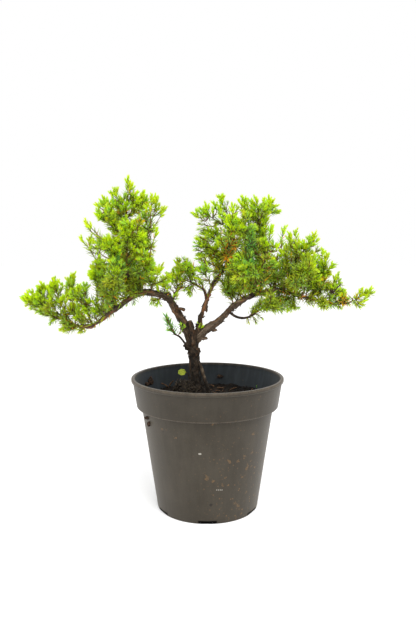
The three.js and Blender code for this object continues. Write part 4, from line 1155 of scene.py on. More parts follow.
def grow_spray(shoots, index, draw):
    """One leafy spray: its stem, its main side shoots and all the small ones between them."""
    limb, along, tip, leafy, side_count = SPRAYS[index]
    path = spray_path(limb, along, tip, SPRAY_END)
    bare = max(1 - leafy / path.length, SHORTEST_TWIG / path.length)
    stem = path.stretch(bare, 1)
    shoots.add(path.stretch(0.08, bare, 4), (0.95, 0.6), 0.5, 0.04, count=4)
    age = 0.8 * age_at(stem.at(1))
    shoots.add(stem, (max(0.55, age), age), (0.8, 1.0), 0.01, vigour=1.5, count=8)
    if not side_count:
        shoots.add(stem, (0.8, age), 1.0, vigour=2.0)
        return
    add_buds(shoots, stem, 4, age, draw)
    for i in range(side_count):
        share = FIRST_SIDE_SHOOT + SIDE_SHOOT_STRETCH / max(side_count - 1, 1) * i
        turn = index * SPRAY_TURN + i * GOLDEN_TURN
        length = SIDE_SHOOT_LENGTH * (1 - SIDE_SHOOT_TAPER * share)
        side = trimmed(side_path(stem, share, turn, length))
        if side is not None:
            age = age_at(side.at(1))
            shoots.add(side, (min(1, age + 0.4), age), 1.0, 0.01, vigour=1.2, count=6)
            bush_out(shoots, side, turn, draw, spacing=3.4, longest=7, first=0.25)
    bush_out(shoots, stem, index * SPRAY_TURN + 1.2, draw, spacing=2.1)
    if bare * path.length > 6:
        bush_out(shoots, path.stretch(0.15, bare, 5), index * SPRAY_TURN, draw,
                 spacing=2.8, longest=10, first=0.1, older=0.15, fullness=0.9, dead=0.04)


def grow_limb_tufts(shoots, limb, draw):
    """Short old shoots that stand straight on a limb."""
    start, end, spacing = LIMB_TUFTS.get(limb, OTHER_TUFTS)
    path = LIMB_PATHS[limb]
    along, turn = start, draw.uniform(0, 6)
    while along < end:
        turn += GOLDEN_TURN
        share = min(along, 0.999)
        length, lean = draw.uniform(*TUFT_LENGTHS), math.radians(draw.uniform(*TUFT_LEANS))
        tuft = trimmed(side_path(path, share, turn, length, lean, 0.2, 0.35))
        if tuft is not None:
            age = min(1.0, age_at(tuft.at(1)) + 0.15)
            shoots.add(tuft, (min(1, age + 0.2), age), 0.9, 0.05)
            bush_out(shoots, tuft, turn, draw, spacing=2.8, longest=6, first=0.25, older=0.1,
                     fullness=0.9, dead=0.04)
        along += spacing * draw.uniform(0.75, 1.25) / path.length


class Carriers:
    """Points along the sprays and limbs, from which further shoots grow."""

    def __init__(self):
        self.roots, self.pieces = [], []
        for name, (first, last, limbs) in FOLIAGE.items():
            for limb, along, tip, _, _ in SPRAYS[first - 1:last]:
                self.add(spray_path(limb, along, tip, SPRAY_END), name)
            for limb in limbs:
                self.add(LIMB_PATHS[limb], name)
        for limb, name in OTHER_CARRIERS.items():
            self.add(LIMB_PATHS[limb], name)
        self.places = np.array([on_pane(root) for root in self.roots])
        self.depths = np.array([root[1] for root in self.roots])

    def add(self, path, piece):
        count = max(8, round(path.length / 1.5))
        self.roots += [path.at(i / count) for i in range(1, count)]
        self.pieces += [piece] * (count - 1)

    def grow_to(self, foot, tip, draw):
        """A line from the nearest root over its foot to its tip, and its share up to the foot."""
        away = np.linalg.norm(self.places - foot, axis=1) + BACK_PENALTY * self.depths
        nearest = int(np.argmin(away))
        root = self.roots[nearest]
        depth = root[1] - draw.uniform(0, 2)
        foot, tip = seen((*foot, depth)), seen((*tip, depth + draw.uniform(-3, 2)))
        way = unit(tip - foot)
        end = tip - way * FINGER_END
        bow = np.array([draw.uniform(-0.5, 0.5), draw.uniform(-1, 1), 0])
        gap = float(np.linalg.norm(foot - root))
        over = [foot] if gap > 3 else []
        middle = foot + (end - foot) * 0.55 + bow
        path = smooth_path([root, *over, middle, end], steps=8)
        return path, gap / path.length if over else 0, self.pieces[nearest]


def make_needle_finish(sizes):
    """Needle green: lime at the tips, olive inside, some bluish and some dead and orange."""
    look = Finish("needles")
    ripe, tint, stem = look.trait("ripe"), look.trait("tint"), look.trait("stem")
    dead, hue, outward = look.trait("dead"), look.trait("hue"), look.trait("outward")
    patch = look.grain(45.0, 2.0)
    fine = look.grain(900.0, 2.0)
    age = (ripe + (tint - 0.5) * 0.35 + (patch - 0.5) * 0.5).clamp()
    green = look.ramp(age, (0.0, tuple(sizes.young)), (0.38, tuple(sizes.grown)),
                      (0.72, tuple(sizes.old)), (1.0, tuple(sizes.oldest)))
    cool = look.grain(28.0, 1.0).ease(0.55, 0.7) * 0.4 + hue.ease(0.2, 0.35, 0.45, 0.0)
    for place, width, height in BLUISH_STREAKS:
        away = look.vector("SUBTRACT", look.place, tuple(seen(place) * MM))
        away = look.vector("MULTIPLY", away, (1 / (width * MM), 0, 1 / (height * MM)))
        cool = cool + look.vector("LENGTH", away, output="Value").ease(0.5, 1.3, 0.7, 0.0)
    green = look.mix((cool * tint.ease(0.1, 0.6, 0.3, 1.0)).clamp(), green, tuple(sizes.bluish))
    warm = look.grain(60.0, 2.0).ease(0.5, 0.68) * tint * 0.6 + hue.ease(0.8, 0.95) * 0.4
    green = look.mix(warm.clamp(), green, tuple(sizes.yellow))
    is_dead = (dead + patch.ease(0.55, 0.8) * 0.04) > tint
    colour = look.mix(is_dead, green, tuple(sizes.dead))
    twig = look.mix(ripe, (0.16, 0.2, 0.03), (0.2, 0.09, 0.035))
    colour = look.mix(stem, colour, twig)
    shade = outward.ease(0.0, 0.8, 0.65, 0.0) * ripe.ease(0.0, 0.5, 0.4, 1.0) + fine * 0.2
    contrast = (tint * 37.0).fract().ease(0.3, 1.0, 0.0, 0.42)
    shade = (shade + contrast * ripe.ease(0.08, 0.45)) * (1.0 - is_dead * 0.6)
    colour = look.mix(shade.clamp(), colour, (0.03, 0.045, 0.008))
    return look.finish(colour, fine * 0.25 + 0.35,
                       constants={"Specular IOR Level": 0.15, "Subsurface Weight": sizes.glow,
                                  "Subsurface Scale": 0.0007, "Subsurface Radius": (0.8, 1.0, 0.1)})


class FoliageSettings(bpy.types.PropertyGroup):
    """Sizes and colours of the needles."""

    needle_length: length_setting("Needle Length", "Length of a grown needle", 6.4)
    needle_width: length_setting("Needle Width", "Width of a needle at its widest", 0.9)
    whorl_step: length_setting("Whorl Step", "Way between whorls of needles at a tip", 0.58)
    stem_radius: length_setting("Stem Radius", "Radius of a leafy shoot's stem", 0.5)
    tip_length: length_setting("Tip Length", "Length of a shoot's bud-like tip", 13)
    glow: FloatProperty(name="Glow", description="How far light passes into a needle",
                        default=0.5, subtype="FACTOR")
    young: colour_setting("Young", "Colour at the tips", (0.62, 0.9, 0.006))
    grown: colour_setting("Grown", "Colour of grown needles", (0.56, 0.87, 0.009))
    old: colour_setting("Old", "Colour of old needles", (0.42, 0.62, 0.014))
    oldest: colour_setting("Oldest", "Colour deep in the crown", (0.27, 0.36, 0.018))
    bluish: colour_setting("Bluish", "Colour of the cooler patches", (0.12, 0.46, 0.11))
    yellow: colour_setting("Yellow", "Colour of the warmer patches", (0.62, 0.56, 0.02))
    dead: colour_setting("Dead", "Colour of dead needles", (0.72, 0.28, 0.015))
    seed: IntProperty(name="Seed", description="Start of the random draws", default=11)


class BONSAI_OT_foliage(bpy.types.Operator):
    """Grows the needles on every spray and limb"""

    bl_idname = "bonsai.foliage"
    bl_label = "Foliage"

    def execute(self, context):
        own = context.scene.bonsai_foliage
        material = make_needle_finish(own)
        sizes = {
            "Needle Length": own.needle_length, "Needle Width": own.needle_width,
            "Needle Thickness": own.needle_width * 0.42, "Needle Bend": 0.1,
            "Whorl Step": own.whorl_step,
            "Tip Length": own.tip_length, "Old Tip": own.tip_length * 0.9, "Tip Needle Share": 0.4,
            "Tip Lean": math.radians(31), "Needle Lean": math.radians(58),
            "Stem Radius": own.stem_radius, "Seed": own.seed, "Material": material,
        }
        tree = make_needle_tree(sizes)
        groups = {name: Shoots() for name in FOLIAGE}
        for number, (name, (first, last, limbs)) in enumerate(FOLIAGE.items()):
            draw = random.Random(own.seed + number)
            for index in range(first - 1, last):
                grow_spray(groups[name], index, draw)
            for limb in limbs:
                grow_limb_tufts(groups[name], limb, draw)
            for limb in limbs:
                start = CLOTHED_LIMBS.get(limb, OTHER_CLOTHED)
                groups[name].add(LIMB_PATHS[limb].stretch(start, 1, 16), 0.5, 0.85, 0.08, count=24)
        carriers, draw = Carriers(), random.Random(own.seed)
        for foot_right, foot_up, tip_right, tip_up, buds in FINGERS:
            path, bare, name = carriers.grow_to((foot_right, foot_up), (tip_right, tip_up), draw)
            age = 0.0 if tip_up > foot_up and buds > 1 else 0.38
            if bare > 0:
                groups[name].add(path.stretch(0, bare, 4), 0.8, 0.3, 0.03)
                path = path.stretch(bare, 1)
            groups[name].add(path, (min(1, age + 0.5), age), (0.75, 1.0), 0.01, 1.4, count=6)
            add_buds(groups[name], path, buds, age, draw)
        for foot_right, foot_up, tip_right, tip_up in INNER_STEMS:
            path, _, name = carriers.grow_to((foot_right, foot_up), (tip_right, tip_up), draw)
            groups[name].add(path, (0.8, 0.45), 0.9, 0.03, count=8)
            bush_out(groups[name], path, foot_right, draw, spacing=1.9, longest=11)
        for number, (name, (first, last, _)) in enumerate(FOLIAGE.items()):
            shoots = groups[name]
            lines = mesh_object(name + "_lines", shoots.points, edges=shoots.edges,
                                traits=shoots.traits)
            piece = grow(lines, tree, sizes | {"Seed": own.seed + 10 * number}, name)
            for trait in ("age", "fullness", "vigour", "from_tip"):
                piece.data.attributes.remove(piece.data.attributes[trait])
            nodes = [f"spray_{index:02d}" for index in range(first, last + 1)]
            adopt(piece, nodes)
        return {"FINISHED"}


def tube(path, radii, sides, step, roughen=None):
    """Points and faces of a closed round limb whose ends are domed."""
    rings = max(2, round(path.length / step))
    stations = path.frames(rings)
    angles = [2 * math.pi * i / sides for i in range(sides)]
    points, faces = [], []
    for ring, (centre, _, side, cross) in enumerate(stations):
        share = ring / rings
        radius = radius_at(radii, share)
        for angle in angles:
            outward = side * math.cos(angle) + cross * math.sin(angle)
            swell = roughen(radius, angle, share * path.length) if roughen else 0
            points.append(centre + outward * (radius + swell))
    for ring in range(rings):
        for i in range(sides):
            a, b = ring * sides + i, ring * sides + (i + 1) % sides
            faces.append((a, b, b + sides, a + sides))
    start, end = stations[0], stations[-1]
    points.append(start[0] - start[1] * radius_at(radii, 0) * 0.5)
    points.append(end[0] + end[1] * radius_at(radii, 1) * 0.5)
    top, last = len(points) - 1, rings * sides
    for i in range(sides):
        faces.append(((i + 1) % sides, i, top - 1))
        faces.append((last + i, last + (i + 1) % sides, top))
    return points, faces


class Shape:
    """Points and faces that are gathered into one mesh."""

    def __init__(self):
        self.points, self.faces = [], []

    def add(self, points, faces):
        shift = len(self.points)
        self.points += [tuple(p) for p in points]
        self.faces += [tuple(i + shift for i in face) for face in faces]


def ball(centre, radii, rough, seed, detail=2):
    """A lumpy ball with a radius along each axis."""
    shape = bmesh.new()
    bmesh.ops.create_icosphere(shape, subdivisions=detail, radius=1)
    points = []
    for vertex in shape.verts:
        swell = 1 + rough * noise.noise(vertex.co * 1.7 + Vector((seed, 0, 0)))
        points.append([c + r * v * swell for c, r, v in zip(centre, radii, vertex.co)])
    faces = [[v.index for v in face.verts] for face in shape.faces]
    shape.free()
    return points, faces


def bark_relief(offset, depth):
    """A function for the bark's height: long ridges with torn, raised strips."""
    def relief(radius, angle, along):
        x, y = radius * math.cos(angle), radius * math.sin(angle)
        ridge = noise.noise(Vector((x * 0.9, y * 0.9, along * 0.16 + offset)))
        strip = noise.noise(Vector((x * 0.55 + 9, y * 0.55, along * 0.1 + offset)))
        crumb = noise.noise(Vector((x * 1.6, y * 1.6, along * 0.9 + offset)))
        lump = noise.noise(Vector((x * 0.3, y * 0.3, along * 0.3 + offset)))
        raised = 1 if strip > 0.05 else 0
        return depth * (0.8 * ridge + 0.8 * raised + 0.7 * crumb + 0.9 * lump - 0.4)
    return relief


def spray_twig(index):
    """Path and radii of the bare twig between a limb and its spray."""
    limb, along, tip, leafy, _ = SPRAYS[index]
    path = spray_path(limb, along, tip, TWIG_END)
    bare = max(1 - leafy / path.length, SHORTEST_TWIG / path.length)
    widest = min(radius_at(LIMBS[limb][0], along) * TWIG_TAPER, WIDEST_TWIG)
    return path.stretch(0, bare), [widest, TWIG_TIP_RADIUS]


def fused(shape, name, voxel):
    """One closed skin round all the shapes that cross each other."""
    piece = mesh_object(name, shape.points, shape.faces)
    skin = piece.modifiers.new("skin", "REMESH")
    skin.mode = "VOXEL"
    skin.voxel_size = voxel
    skin.use_smooth_shade = True
    piece = settled(piece, name)
    if not piece.data.polygons:
        raise RuntimeError(f"{name} has no skin")
    return piece


# How light the bark is on each limb, and how red at its foot and tip
BARK_TONES = {
    "trunk": (0.0, 0.1, 0.2), "left": (0.65, 0.3, 0.8), "middle": (0.55, 0.4, 1.8),
    "right": (0.95, 0.2, 0.8), "dead_stem": (0.3, 0.0, 0.0), "old_stump": (0.3, 0.2, 0.4),
    "dead_stub": (0.2, 0.6, 0.9), "root_left": (0.05, 0.0, 0.0), "root_back": (0.05, 0.0, 0.0),
    "trunk_sprig": (0.2, 0.0, 0.1),
}
OTHER_BARK = (0.4, 0.5, 0.7)


def dress_bark(mesh):
    """Gives each point of the wood its place along the grain, its tone and its redness."""
    samples = []
    for name, path in LIMB_PATHS.items():
        count = max(2, round(path.length / 0.7))
        offset = 200.0 * len(samples)
        tone, red, tip_red = BARK_TONES.get(name, OTHER_BARK)
        for i, (centre, _, side, cross) in enumerate(path.frames(count)):
            share = i / count
            samples.append((centre, side, cross, offset + share * path.length,
                            tone, red + (tip_red - red) * share))
    tree = KDTree(len(samples))
    for i, sample in enumerate(samples):
        tree.insert(sample[0], i)
    tree.balance()
    grain, tones, reds = [], [], []
    for vertex in mesh.vertices:
        place = np.array(vertex.co) / MM
        _, index, _ = tree.find(place)
        centre, side, cross, along, tone, red = samples[index]
        away = place - centre
        grain.append((away.dot(side) * MM, away.dot(cross) * MM, along * MM))
        low = 1 if tone > 0.7 else min(1.0, max(0.0, (place[2] - 92) / 40))
        right, up = on_pane(place)
        worn = max(0.0, *(1 - math.hypot(right - p[0], up - p[1]) / p[2] for p in PALE_PATCHES))
        tones.append(tone * (0.35 + 0.65 * low) + 1.2 * worn)
        reds.append(red * low)
    add_trait(mesh, "grain", grain)
    add_trait(mesh, "tone", tones)
    add_trait(mesh, "red", reds)


def bare_radii(limb):
    return [radius * SLIMMER.get(limb, 1) for radius in LIMBS[limb][0]]


def add_flakes(shape, draw):
    """Loose strips of bark that stand off the trunk and the limbs."""
    for limb, start, end, count in FLAKES:
        path, radii = LIMB_PATHS[limb], bare_radii(limb)
        for _ in range(count):
            share = draw.uniform(start, end)
            centre, axis, side, cross = path.stretch(share, min(1, share + 0.02), 1).frames(1)[0]
            angle = draw.uniform(0, 2 * math.pi)
            outward = side * math.cos(angle) + cross * math.sin(angle)
            across = np.cross(axis, outward)
            way = axis * draw.choice((-1, 1))
            length, width = draw.uniform(1.4, 4.2), draw.uniform(0.4, 1.1)
            lift = draw.uniform(0.05, 0.8)
            root = centre + outward * (radius_at(radii, share) - 0.25)
            points = []
            for far, wide in ((0, 1), (0.5, 1.1), (1, 0.4)):
                middle = root + way * length * far + outward * (length * lift * far ** 1.6 + 0.2)
                for thick in (-0.14, 0.14):
                    for edge in (-1, 1):
                        points.append(middle + across * width * wide * edge + outward * thick)
            faces = []
            for a in (0, 4):
                faces += [(a, a + 1, a + 5, a + 4), (a + 3, a + 2, a + 6, a + 7),
                          (a + 2, a, a + 4, a + 6), (a + 1, a + 3, a + 7, a + 5)]
            faces += [(0, 2, 3, 1), (8, 9, 11, 10)]
            shape.add(points, faces)


def make_bark_finish(sizes):
    """Peeling juniper bark: long grey-brown fibres over dark and rusty layers."""
    look = Finish("bark")
    grain = look.trait("grain", "Vector")
    tone, red = look.trait("tone"), look.trait("red")
    fibres = look.grain(1400.0, 4.0, (1, 1, 0.14), grain)
    strips = look.grain(420.0, 3.0, (1, 1, 0.2), grain)
    crumbs = look.grain(1600.0)
    patches = look.grain(120.0, 2.0)
    light = (fibres * 0.9 + strips * 0.8 + crumbs * 0.9 + tone * 0.42 - 1.24).clamp()
    colour = look.ramp(light, (0.0, tuple(sizes.crack)), (0.35, tuple(sizes.brown)),
                       (0.7, tuple(sizes.grey)), (1.0, tuple(sizes.pale)))
    rust = (red * strips.ease(0.45, 0.7) * patches.ease(0.35, 0.65)).clamp()
    colour = look.mix(rust, colour, tuple(sizes.rust))
    height = fibres * 0.6 + strips * 0.8 + crumbs * 0.25
    return look.finish(colour, 0.9 - fibres * 0.15, look.bump(height, 0.001),
                       {"Specular IOR Level": 0.25})


class WoodSettings(bpy.types.PropertyGroup):
    """Sizes and colours of the wood."""

    bark_depth: length_setting("Bark Depth", "Height of the bark's ridges", 0.6)
    skin: length_setting("Skin Size", "Grain of the mesh on the thick limbs", 0.48)
    crack: colour_setting("Crack", "Colour deep in the bark", (0.008, 0.006, 0.004))
    brown: colour_setting("Brown", "Colour of the bark's body", (0.05, 0.032, 0.018))
    grey: colour_setting("Grey", "Colour of weathered bark", (0.15, 0.115, 0.08))
    pale: colour_setting("Pale", "Colour of dry fibres", (0.42, 0.37, 0.28))
    rust: colour_setting("Rust", "Colour under peeled bark", (0.34, 0.12, 0.03))


class BONSAI_OT_wood(bpy.types.Operator):
    """Grows the trunk, the limbs and the twigs, with their bark"""

    bl_idname = "bonsai.wood"
    bl_label = "Wood"

    def execute(self, context):
        own = context.scene.bonsai_wood
        draw = random.Random(5)
        material = make_bark_finish(own)
        thick, thin = Shape(), Shape()
        for number, name in enumerate(LIMBS):
            radii = bare_radii(name)
            is_thick = name in THICK_LIMBS
            depth = own.bark_depth / MM * (1 if max(radii) > 2.5 else 0.5)
            relief = bark_relief(number * 31.0, depth if is_thick else depth * 0.4)
            sides = max(9, round(2 * math.pi * max(radii) / (0.5 if is_thick else 0.8)))
            target = thick if is_thick else thin
            target.add(*tube(LIMB_PATHS[name], radii, sides, 0.6 if is_thick else 1.0, relief))
        for place, radius, stretch in KNOTS:
            radii = [radius * s for s in stretch]
            thick.add(*ball(seen(place), radii, 1.3, place[0], 3))
        for index in range(len(SPRAYS)):
            path, radii = spray_twig(index)
            thin.add(*tube(path, radii, 8, 1.0, bark_relief(index * 17.0, 0.15)))
        for shape, name, voxel in ((thick, "trunk_and_limbs", own.skin),
                                   (thin, "twigs", own.skin * 1.4)):
            piece = fused(shape, name, voxel)
            if shape is thick:
                flakes = Shape()
                add_flakes(flakes, draw)
                loose = mesh_object("flakes", flakes.points, flakes.faces)
                joined = bmesh.new()
                joined.from_mesh(piece.data)
                joined.from_mesh(loose.data)
                joined.to_mesh(piece.data)
                joined.free()
                bpy.data.objects.remove(loose)
            dress_bark(piece.data)
            adopt(piece, ["wood"], material, smooth=50)
        return {"FINISHED"}


def softened(profile):
    """A profile whose corners are rounded by the radius given with each."""
    line = []
    for i, (radius, height, round_by) in enumerate(profile):
        corner = np.array([radius, height], float)
        if round_by == 0 or i in (0, len(profile) - 1):
            line.append(corner)
            continue
        before, after = (np.array(profile[j][:2], float) for j in (i - 1, i + 1))
        start, end = (corner + unit(other - corner)
                      * min(round_by, np.linalg.norm(other - corner) * 0.45)
                      for other in (before, after))
        for step in range(5):
            t = step / 4
            line.append((1 - t) ** 2 * start + 2 * t * (1 - t) * corner + t * t * end)
    return line


def circle(radius, height, sides):
    """Points on a level circle round the pot's axis."""
    angles = [2 * math.pi * i / sides for i in range(sides)]
    return [(radius * math.cos(angle), radius * math.sin(angle), height) for angle in angles]


def skin_faces(rings, sides, is_turned=False):
    """Faces over a pole, the rings after it and the pole at their end."""
    last, faces = 1 + (rings - 1) * sides, []
    for i in range(sides):
        after = (i + 1) % sides
        faces.append((0, 1 + after, 1 + i))
        for start in range(1, last, sides):
            a, b = start + i, start + after
            faces.append((a, b, b + sides, a + sides))
        faces.append((last + i, last + after, last + sides))
    return [(face[0], *face[:0:-1]) for face in faces] if is_turned else faces


def lathed(line, sides):
    """Points and faces of a profile turned round the pot's axis, closed at both poles."""
    points = [(0, 0, line[0][1])]
    for radius, height in line[1:-1]:
        points += circle(radius, height, sides)
    return [*points, (0, 0, line[-1][1])], skin_faces(len(line) - 2, sides)


def mark_mask(look, kind, wobble=None):
    """Where the marks of one kind lie on the pot; a wobble makes them uneven."""
    mask = None
    for right, up, radius in POT_MARKS[kind]:
        away = look.away_from(on_pot_front(right, up))
        away = away if wobble is None else away + wobble
        mark = away.ease(radius * MM * 0.55, radius * MM * 1.1, 1.0, 0.0)
        mask = mark if mask is None else mask.maximum(mark)
    return mask


def make_pot_finish(sizes):
    """Thin black nursery plastic: dusty and warm outside, cool and dark inside, worn at the rim."""
    look = Finish("pot_plastic")
    inside, rim = look.trait("inside"), look.trait("rim")
    x = look.node("ShaderNodeSeparateXYZ", None, {0: look.place}, "X")
    y, height = x.other("Y"), x.other("Z")
    clouds, fine = look.grain(34.0, 4.0), look.grain(1500.0)
    streaks = look.grain(240.0, 3.0, (1, 1, 0.12))
    dust = (clouds * 0.6 + streaks * 0.3 + fine * 0.25).clamp()
    outer = look.mix(dust.ease(0.4, 0.75), tuple(sizes.plastic), tuple(sizes.dust))
    # Painted light: the inside is lightened towards a cool grey by its streaks, and more and more
    # towards its left and right ends
    painted_side_light = x.absolute().ease(0.02, 0.058, 0.1, 0.5)
    inner = look.mix(streaks.ease(0.4, 0.75) * 0.4 + painted_side_light, tuple(sizes.inside),
                     (0.04, 0.05, 0.06))
    colour = look.mix(inside, outer, inner)
    worn = rim * (streaks * 0.5 + fine * 0.6).ease(0.35, 0.7)
    colour = look.mix(worn, colour, tuple(sizes.rim))
    # Painted shade: the outside of the collar is darkened a little towards black
    colour = look.mix(look.trait("collar") * 0.17, colour, (0.003, 0.0025, 0.002))

    # Specks and stains of dried dirt, most of them low down and to the right
    grime = look.grain(260.0)
    dirty = x.ease(-0.02, 0.035) * height.ease(0.01, 0.085, 1.0, 0.12)
    speck = look.cells(380.0).ease(0.12, 0.3, 1.0, 0.0) * grime.ease(0.48, 0.6) * (dirty + 0.14)
    stain = look.grain(520.0, 4.0).ease(0.58, 0.7) * look.grain(75.0).ease(0.5, 0.6)
    speck = (speck + stain * dirty * 0.8) * (1.0 - inside)
    colour = look.mix(speck.clamp(), colour, tuple(sizes.rust))
    crumbs = look.cells(330.0).ease(0.08, 0.16, 1.0, 0.0) * grime.ease(0.55, 0.65) * inside
    colour = look.mix(crumbs.clamp(), colour, (0.12, 0.07, 0.04))
    wobble = (look.grain(600.0) - 0.5) * 0.006
    torn = look.grain(1100.0).ease(0.36, 0.52)
    colour = look.mix(mark_mask(look, "rust", wobble) * torn * 0.6, colour, tuple(sizes.rust))
    colour = look.mix(mark_mask(look, "pale") * 0.75, colour, (0.4, 0.38, 0.33))
    colour = look.mix(mark_mask(look, "dark") * 0.75, colour, (0.012, 0.01, 0.008))

    # The drain notches lie in shadow
    off = (y.arctan2(x) / (2 * math.pi / NOTCH_COUNT)).fract() - 0.5
    is_notch = off.absolute().ease(0.15, 0.18, 1.0, 0.0) * height.ease(0.0024, 0.003, 1.0, 0.0)
    colour = look.mix(is_notch, colour, (0.002, 0.002, 0.002))
    rough = (dust * 0.25 + sizes.roughness - inside * 0.05 + is_notch).clamp()
    relief = look.bump(fine * 0.25 + streaks * 0.25 + clouds * 0.5, 0.0004, 0.5)
    return look.finish(colour, rough, relief, {
        "Specular IOR Level": 0.2, "Sheen Weight": 0.1, "Sheen Tint": (1.0, 0.93, 0.82, 1.0),
    }, is_notch)


class PotSettings(bpy.types.PropertyGroup):
    """Sizes and colours of the pot."""

    sides: IntProperty(name="Sides", description="Facets round the pot", default=216)
    roughness: FloatProperty(name="Roughness", description="Roughness of clean plastic",
                             default=0.36, subtype="FACTOR")
    plastic: colour_setting("Plastic", "Colour of the plastic outside", (0.029, 0.023, 0.015))
    dust: colour_setting("Dust", "Colour of the dust outside", (0.046, 0.038, 0.027))
    inside: colour_setting("Inside", "Colour of the plastic inside", (0.014, 0.018, 0.021))
    rim: colour_setting("Rim", "Colour of the worn rim", (0.09, 0.07, 0.05))
    rust: colour_setting("Rust", "Colour of the dried dirt", (0.15, 0.085, 0.033))


class BONSAI_OT_pot(bpy.types.Operator):
    """Turns the pot, cuts its drain notches and finishes its plastic"""

    bl_idname = "bonsai.pot"
    bl_label = "Pot"

    def execute(self, context):
        own = context.scene.bonsai_pot
        lip_inside = COLLAR_TOP_RADIUS - WALL
        profile = [
            (0, 0, 0), (FOOT_RADIUS, 0, 0.9), (*BODY_TOP, 0.3), (*COLLAR_FOOT, 0.4),
            (COLLAR_FOOT[0] + 0.15, COLLAR_FOOT[1] + 0.9, 0.3),
            (COLLAR_TOP_RADIUS, LIP_BOTTOM, 0.5), (LIP_RADIUS, LIP_BOTTOM + 0.4, 0.5),
            (LIP_RADIUS, POT_HEIGHT, 0.9), (lip_inside, POT_HEIGHT, 0.6),
            (lip_inside, LIP_BOTTOM, 0.6), (COLLAR_FOOT[0] - WALL, COLLAR_FOOT[1] + WALL, 0.9),
            (BODY_TOP[0] - WALL, BODY_TOP[1] + WALL, 0.9),
            (inner_radius(POT_FLOOR), POT_FLOOR, 1.0), (0, POT_FLOOR, 0),
        ]
        pot = mesh_object("pot_shell", *lathed(softened(profile), own.sides))
        depth, width, height = NOTCH_SIZE
        cutters = Shape()
        for i in range(NOTCH_COUNT):
            angle = 2 * math.pi * i / NOTCH_COUNT - math.pi / 2
            ahead = np.array([math.cos(angle), math.sin(angle), 0])
            across = np.array([-ahead[1], ahead[0], 0])
            corners = [ahead * (FOOT_RADIUS + a * depth) + across * b * width / 2
                       + np.array([0, 0, c]) for a in (-1, 1) for b in (-1, 1)
                       for c in (-height, height)]
            cutters.add(corners, BOX_FACES)
        cutter = mesh_object("notches", cutters.points, cutters.faces)
        tidy_normals(cutter.data)
        cut = pot.modifiers.new("cut", "BOOLEAN")
        cut.operation, cut.solver, cut.object = "DIFFERENCE", "EXACT", cutter
        pot = settled(pot, "nursery_pot")
        bpy.data.objects.remove(cutter)
        traits = {"inside": [], "rim": [], "collar": []}
        for vertex in pot.data.vertices:
            x, y, z = np.array(vertex.co) / MM
            radius, over_collar_foot = math.hypot(x, y), z - COLLAR_FOOT[1]
            is_inner = radius < inner_radius(z) + WALL * 0.55 and z > POT_FLOOR * 0.8
            is_edge = abs(over_collar_foot - 0.2) < 0.45 and radius > BODY_TOP[0] + 2
            traits["inside"].append(1.0 if is_inner else 0.0)
            traits["rim"].append(1.0 if z > POT_HEIGHT - 1.2 else
                                 0.8 if is_edge and not is_inner else 0.0)
            # The outside of the collar, which takes painted shade in the finish
            traits["collar"].append(1.0 if over_collar_foot > 0.6 and not is_inner else 0.0)
        for name, values in traits.items():
            add_trait(pot.data, name, values)
        adopt(pot, ["pot"], make_pot_finish(own), smooth=32)
        return {"FINISHED"}


def make_soil_finish(sizes):
    """Damp potting mix: dark crumbs with brown fibres and a few pale bits."""
    look = Finish("soil")
    clumps = look.grain(220.0, 4.0)
    fine = look.grain(1800.0, 4.0)
    tint = look.trait("tint")
    light = (clumps * 0.7 + fine * 0.6 + tint * 0.3 - 0.5).clamp()
    right_side = look.node("ShaderNodeSeparateXYZ", None, {0: look.place}, "X").ease(0.012, 0.03)
    light = light * (1.0 - right_side * 0.6)
    colour = look.ramp(light, (0.0, tuple(sizes.dark)), (0.45, tuple(sizes.brown)),
                       (0.8, tuple(sizes.tan)), (1.0, (0.4, 0.3, 0.2)))
    return look.finish(colour, 0.95 - clumps * 0.1, look.bump(clumps + fine * 0.6, 0.0008),
                       {"Specular IOR Level": 0.2})


def make_crumb_tree(sizes):
    """Crumbs of all sizes strewn over the top of the soil."""
    tree, size = growth_tree("crumbs_on_soil", sizes)
    soil = size["Geometry"]
    spots = add_node(tree, "GeometryNodeDistributePointsOnFaces", {"distribute_method": "RANDOM"},
                     {"Mesh": soil, "Selection": named(tree, "top") > 0.5,
                      "Density": size["Crumb Density"], "Seed": size["Seed"]}, "Points")
    spots = keep_trait(tree, spots, "tint", chance(tree, 0.0, 1.0, size["Seed"] + 1))
    crumb = add_node(tree, "GeometryNodeMeshIcoSphere", None,
                     {"Radius": size["Crumb Radius"], "Subdivisions": 1}, "Mesh")
    turn = add_node(tree, "FunctionNodeRandomValue", {"data_type": "FLOAT_VECTOR"},
                    {"Min": (0.0, 0.0, 0.0), "Max": (6.28, 6.28, 6.28), "Seed": size["Seed"] + 2})
    grade = chance(tree, 0.0, 1.0, size["Seed"] + 3)
    grade = grade * grade * grade * 1.8 + 0.35
    scale = add_node(tree, "ShaderNodeCombineXYZ", None,
                     {"X": grade * chance(tree, 0.7, 1.5, size["Seed"] + 4), "Y": grade,
                      "Z": grade * chance(tree, 0.5, 1.0, size["Seed"] + 5)})
    crumbs = add_node(tree, "GeometryNodeInstanceOnPoints", None,
                      {"Points": spots, "Instance": crumb, "Rotation": turn, "Scale": scale})
    crumbs = add_node(tree, "GeometryNodeRealizeInstances", None, {"Geometry": crumbs})
    whole = add_node(tree, "GeometryNodeJoinGeometry", None, {"Geometry": [soil, crumbs]})
    painted = add_node(tree, "GeometryNodeSetMaterial", None,
                       {"Geometry": whole, "Material": size["Material"]})
    add_node(tree, "NodeGroupOutput", None, {"Geometry": painted})
    return tree


def rough_soil_height(x, y):
    """The soil's height with its clods and crumbs."""
    clod = noise.noise(Vector((x * 0.22, y * 0.22, 3)))
    crumb = noise.noise(Vector((x * 0.7, y * 0.7, 7)))
    return soil_height(x, y) + 1.1 * clod + 0.55 * crumb


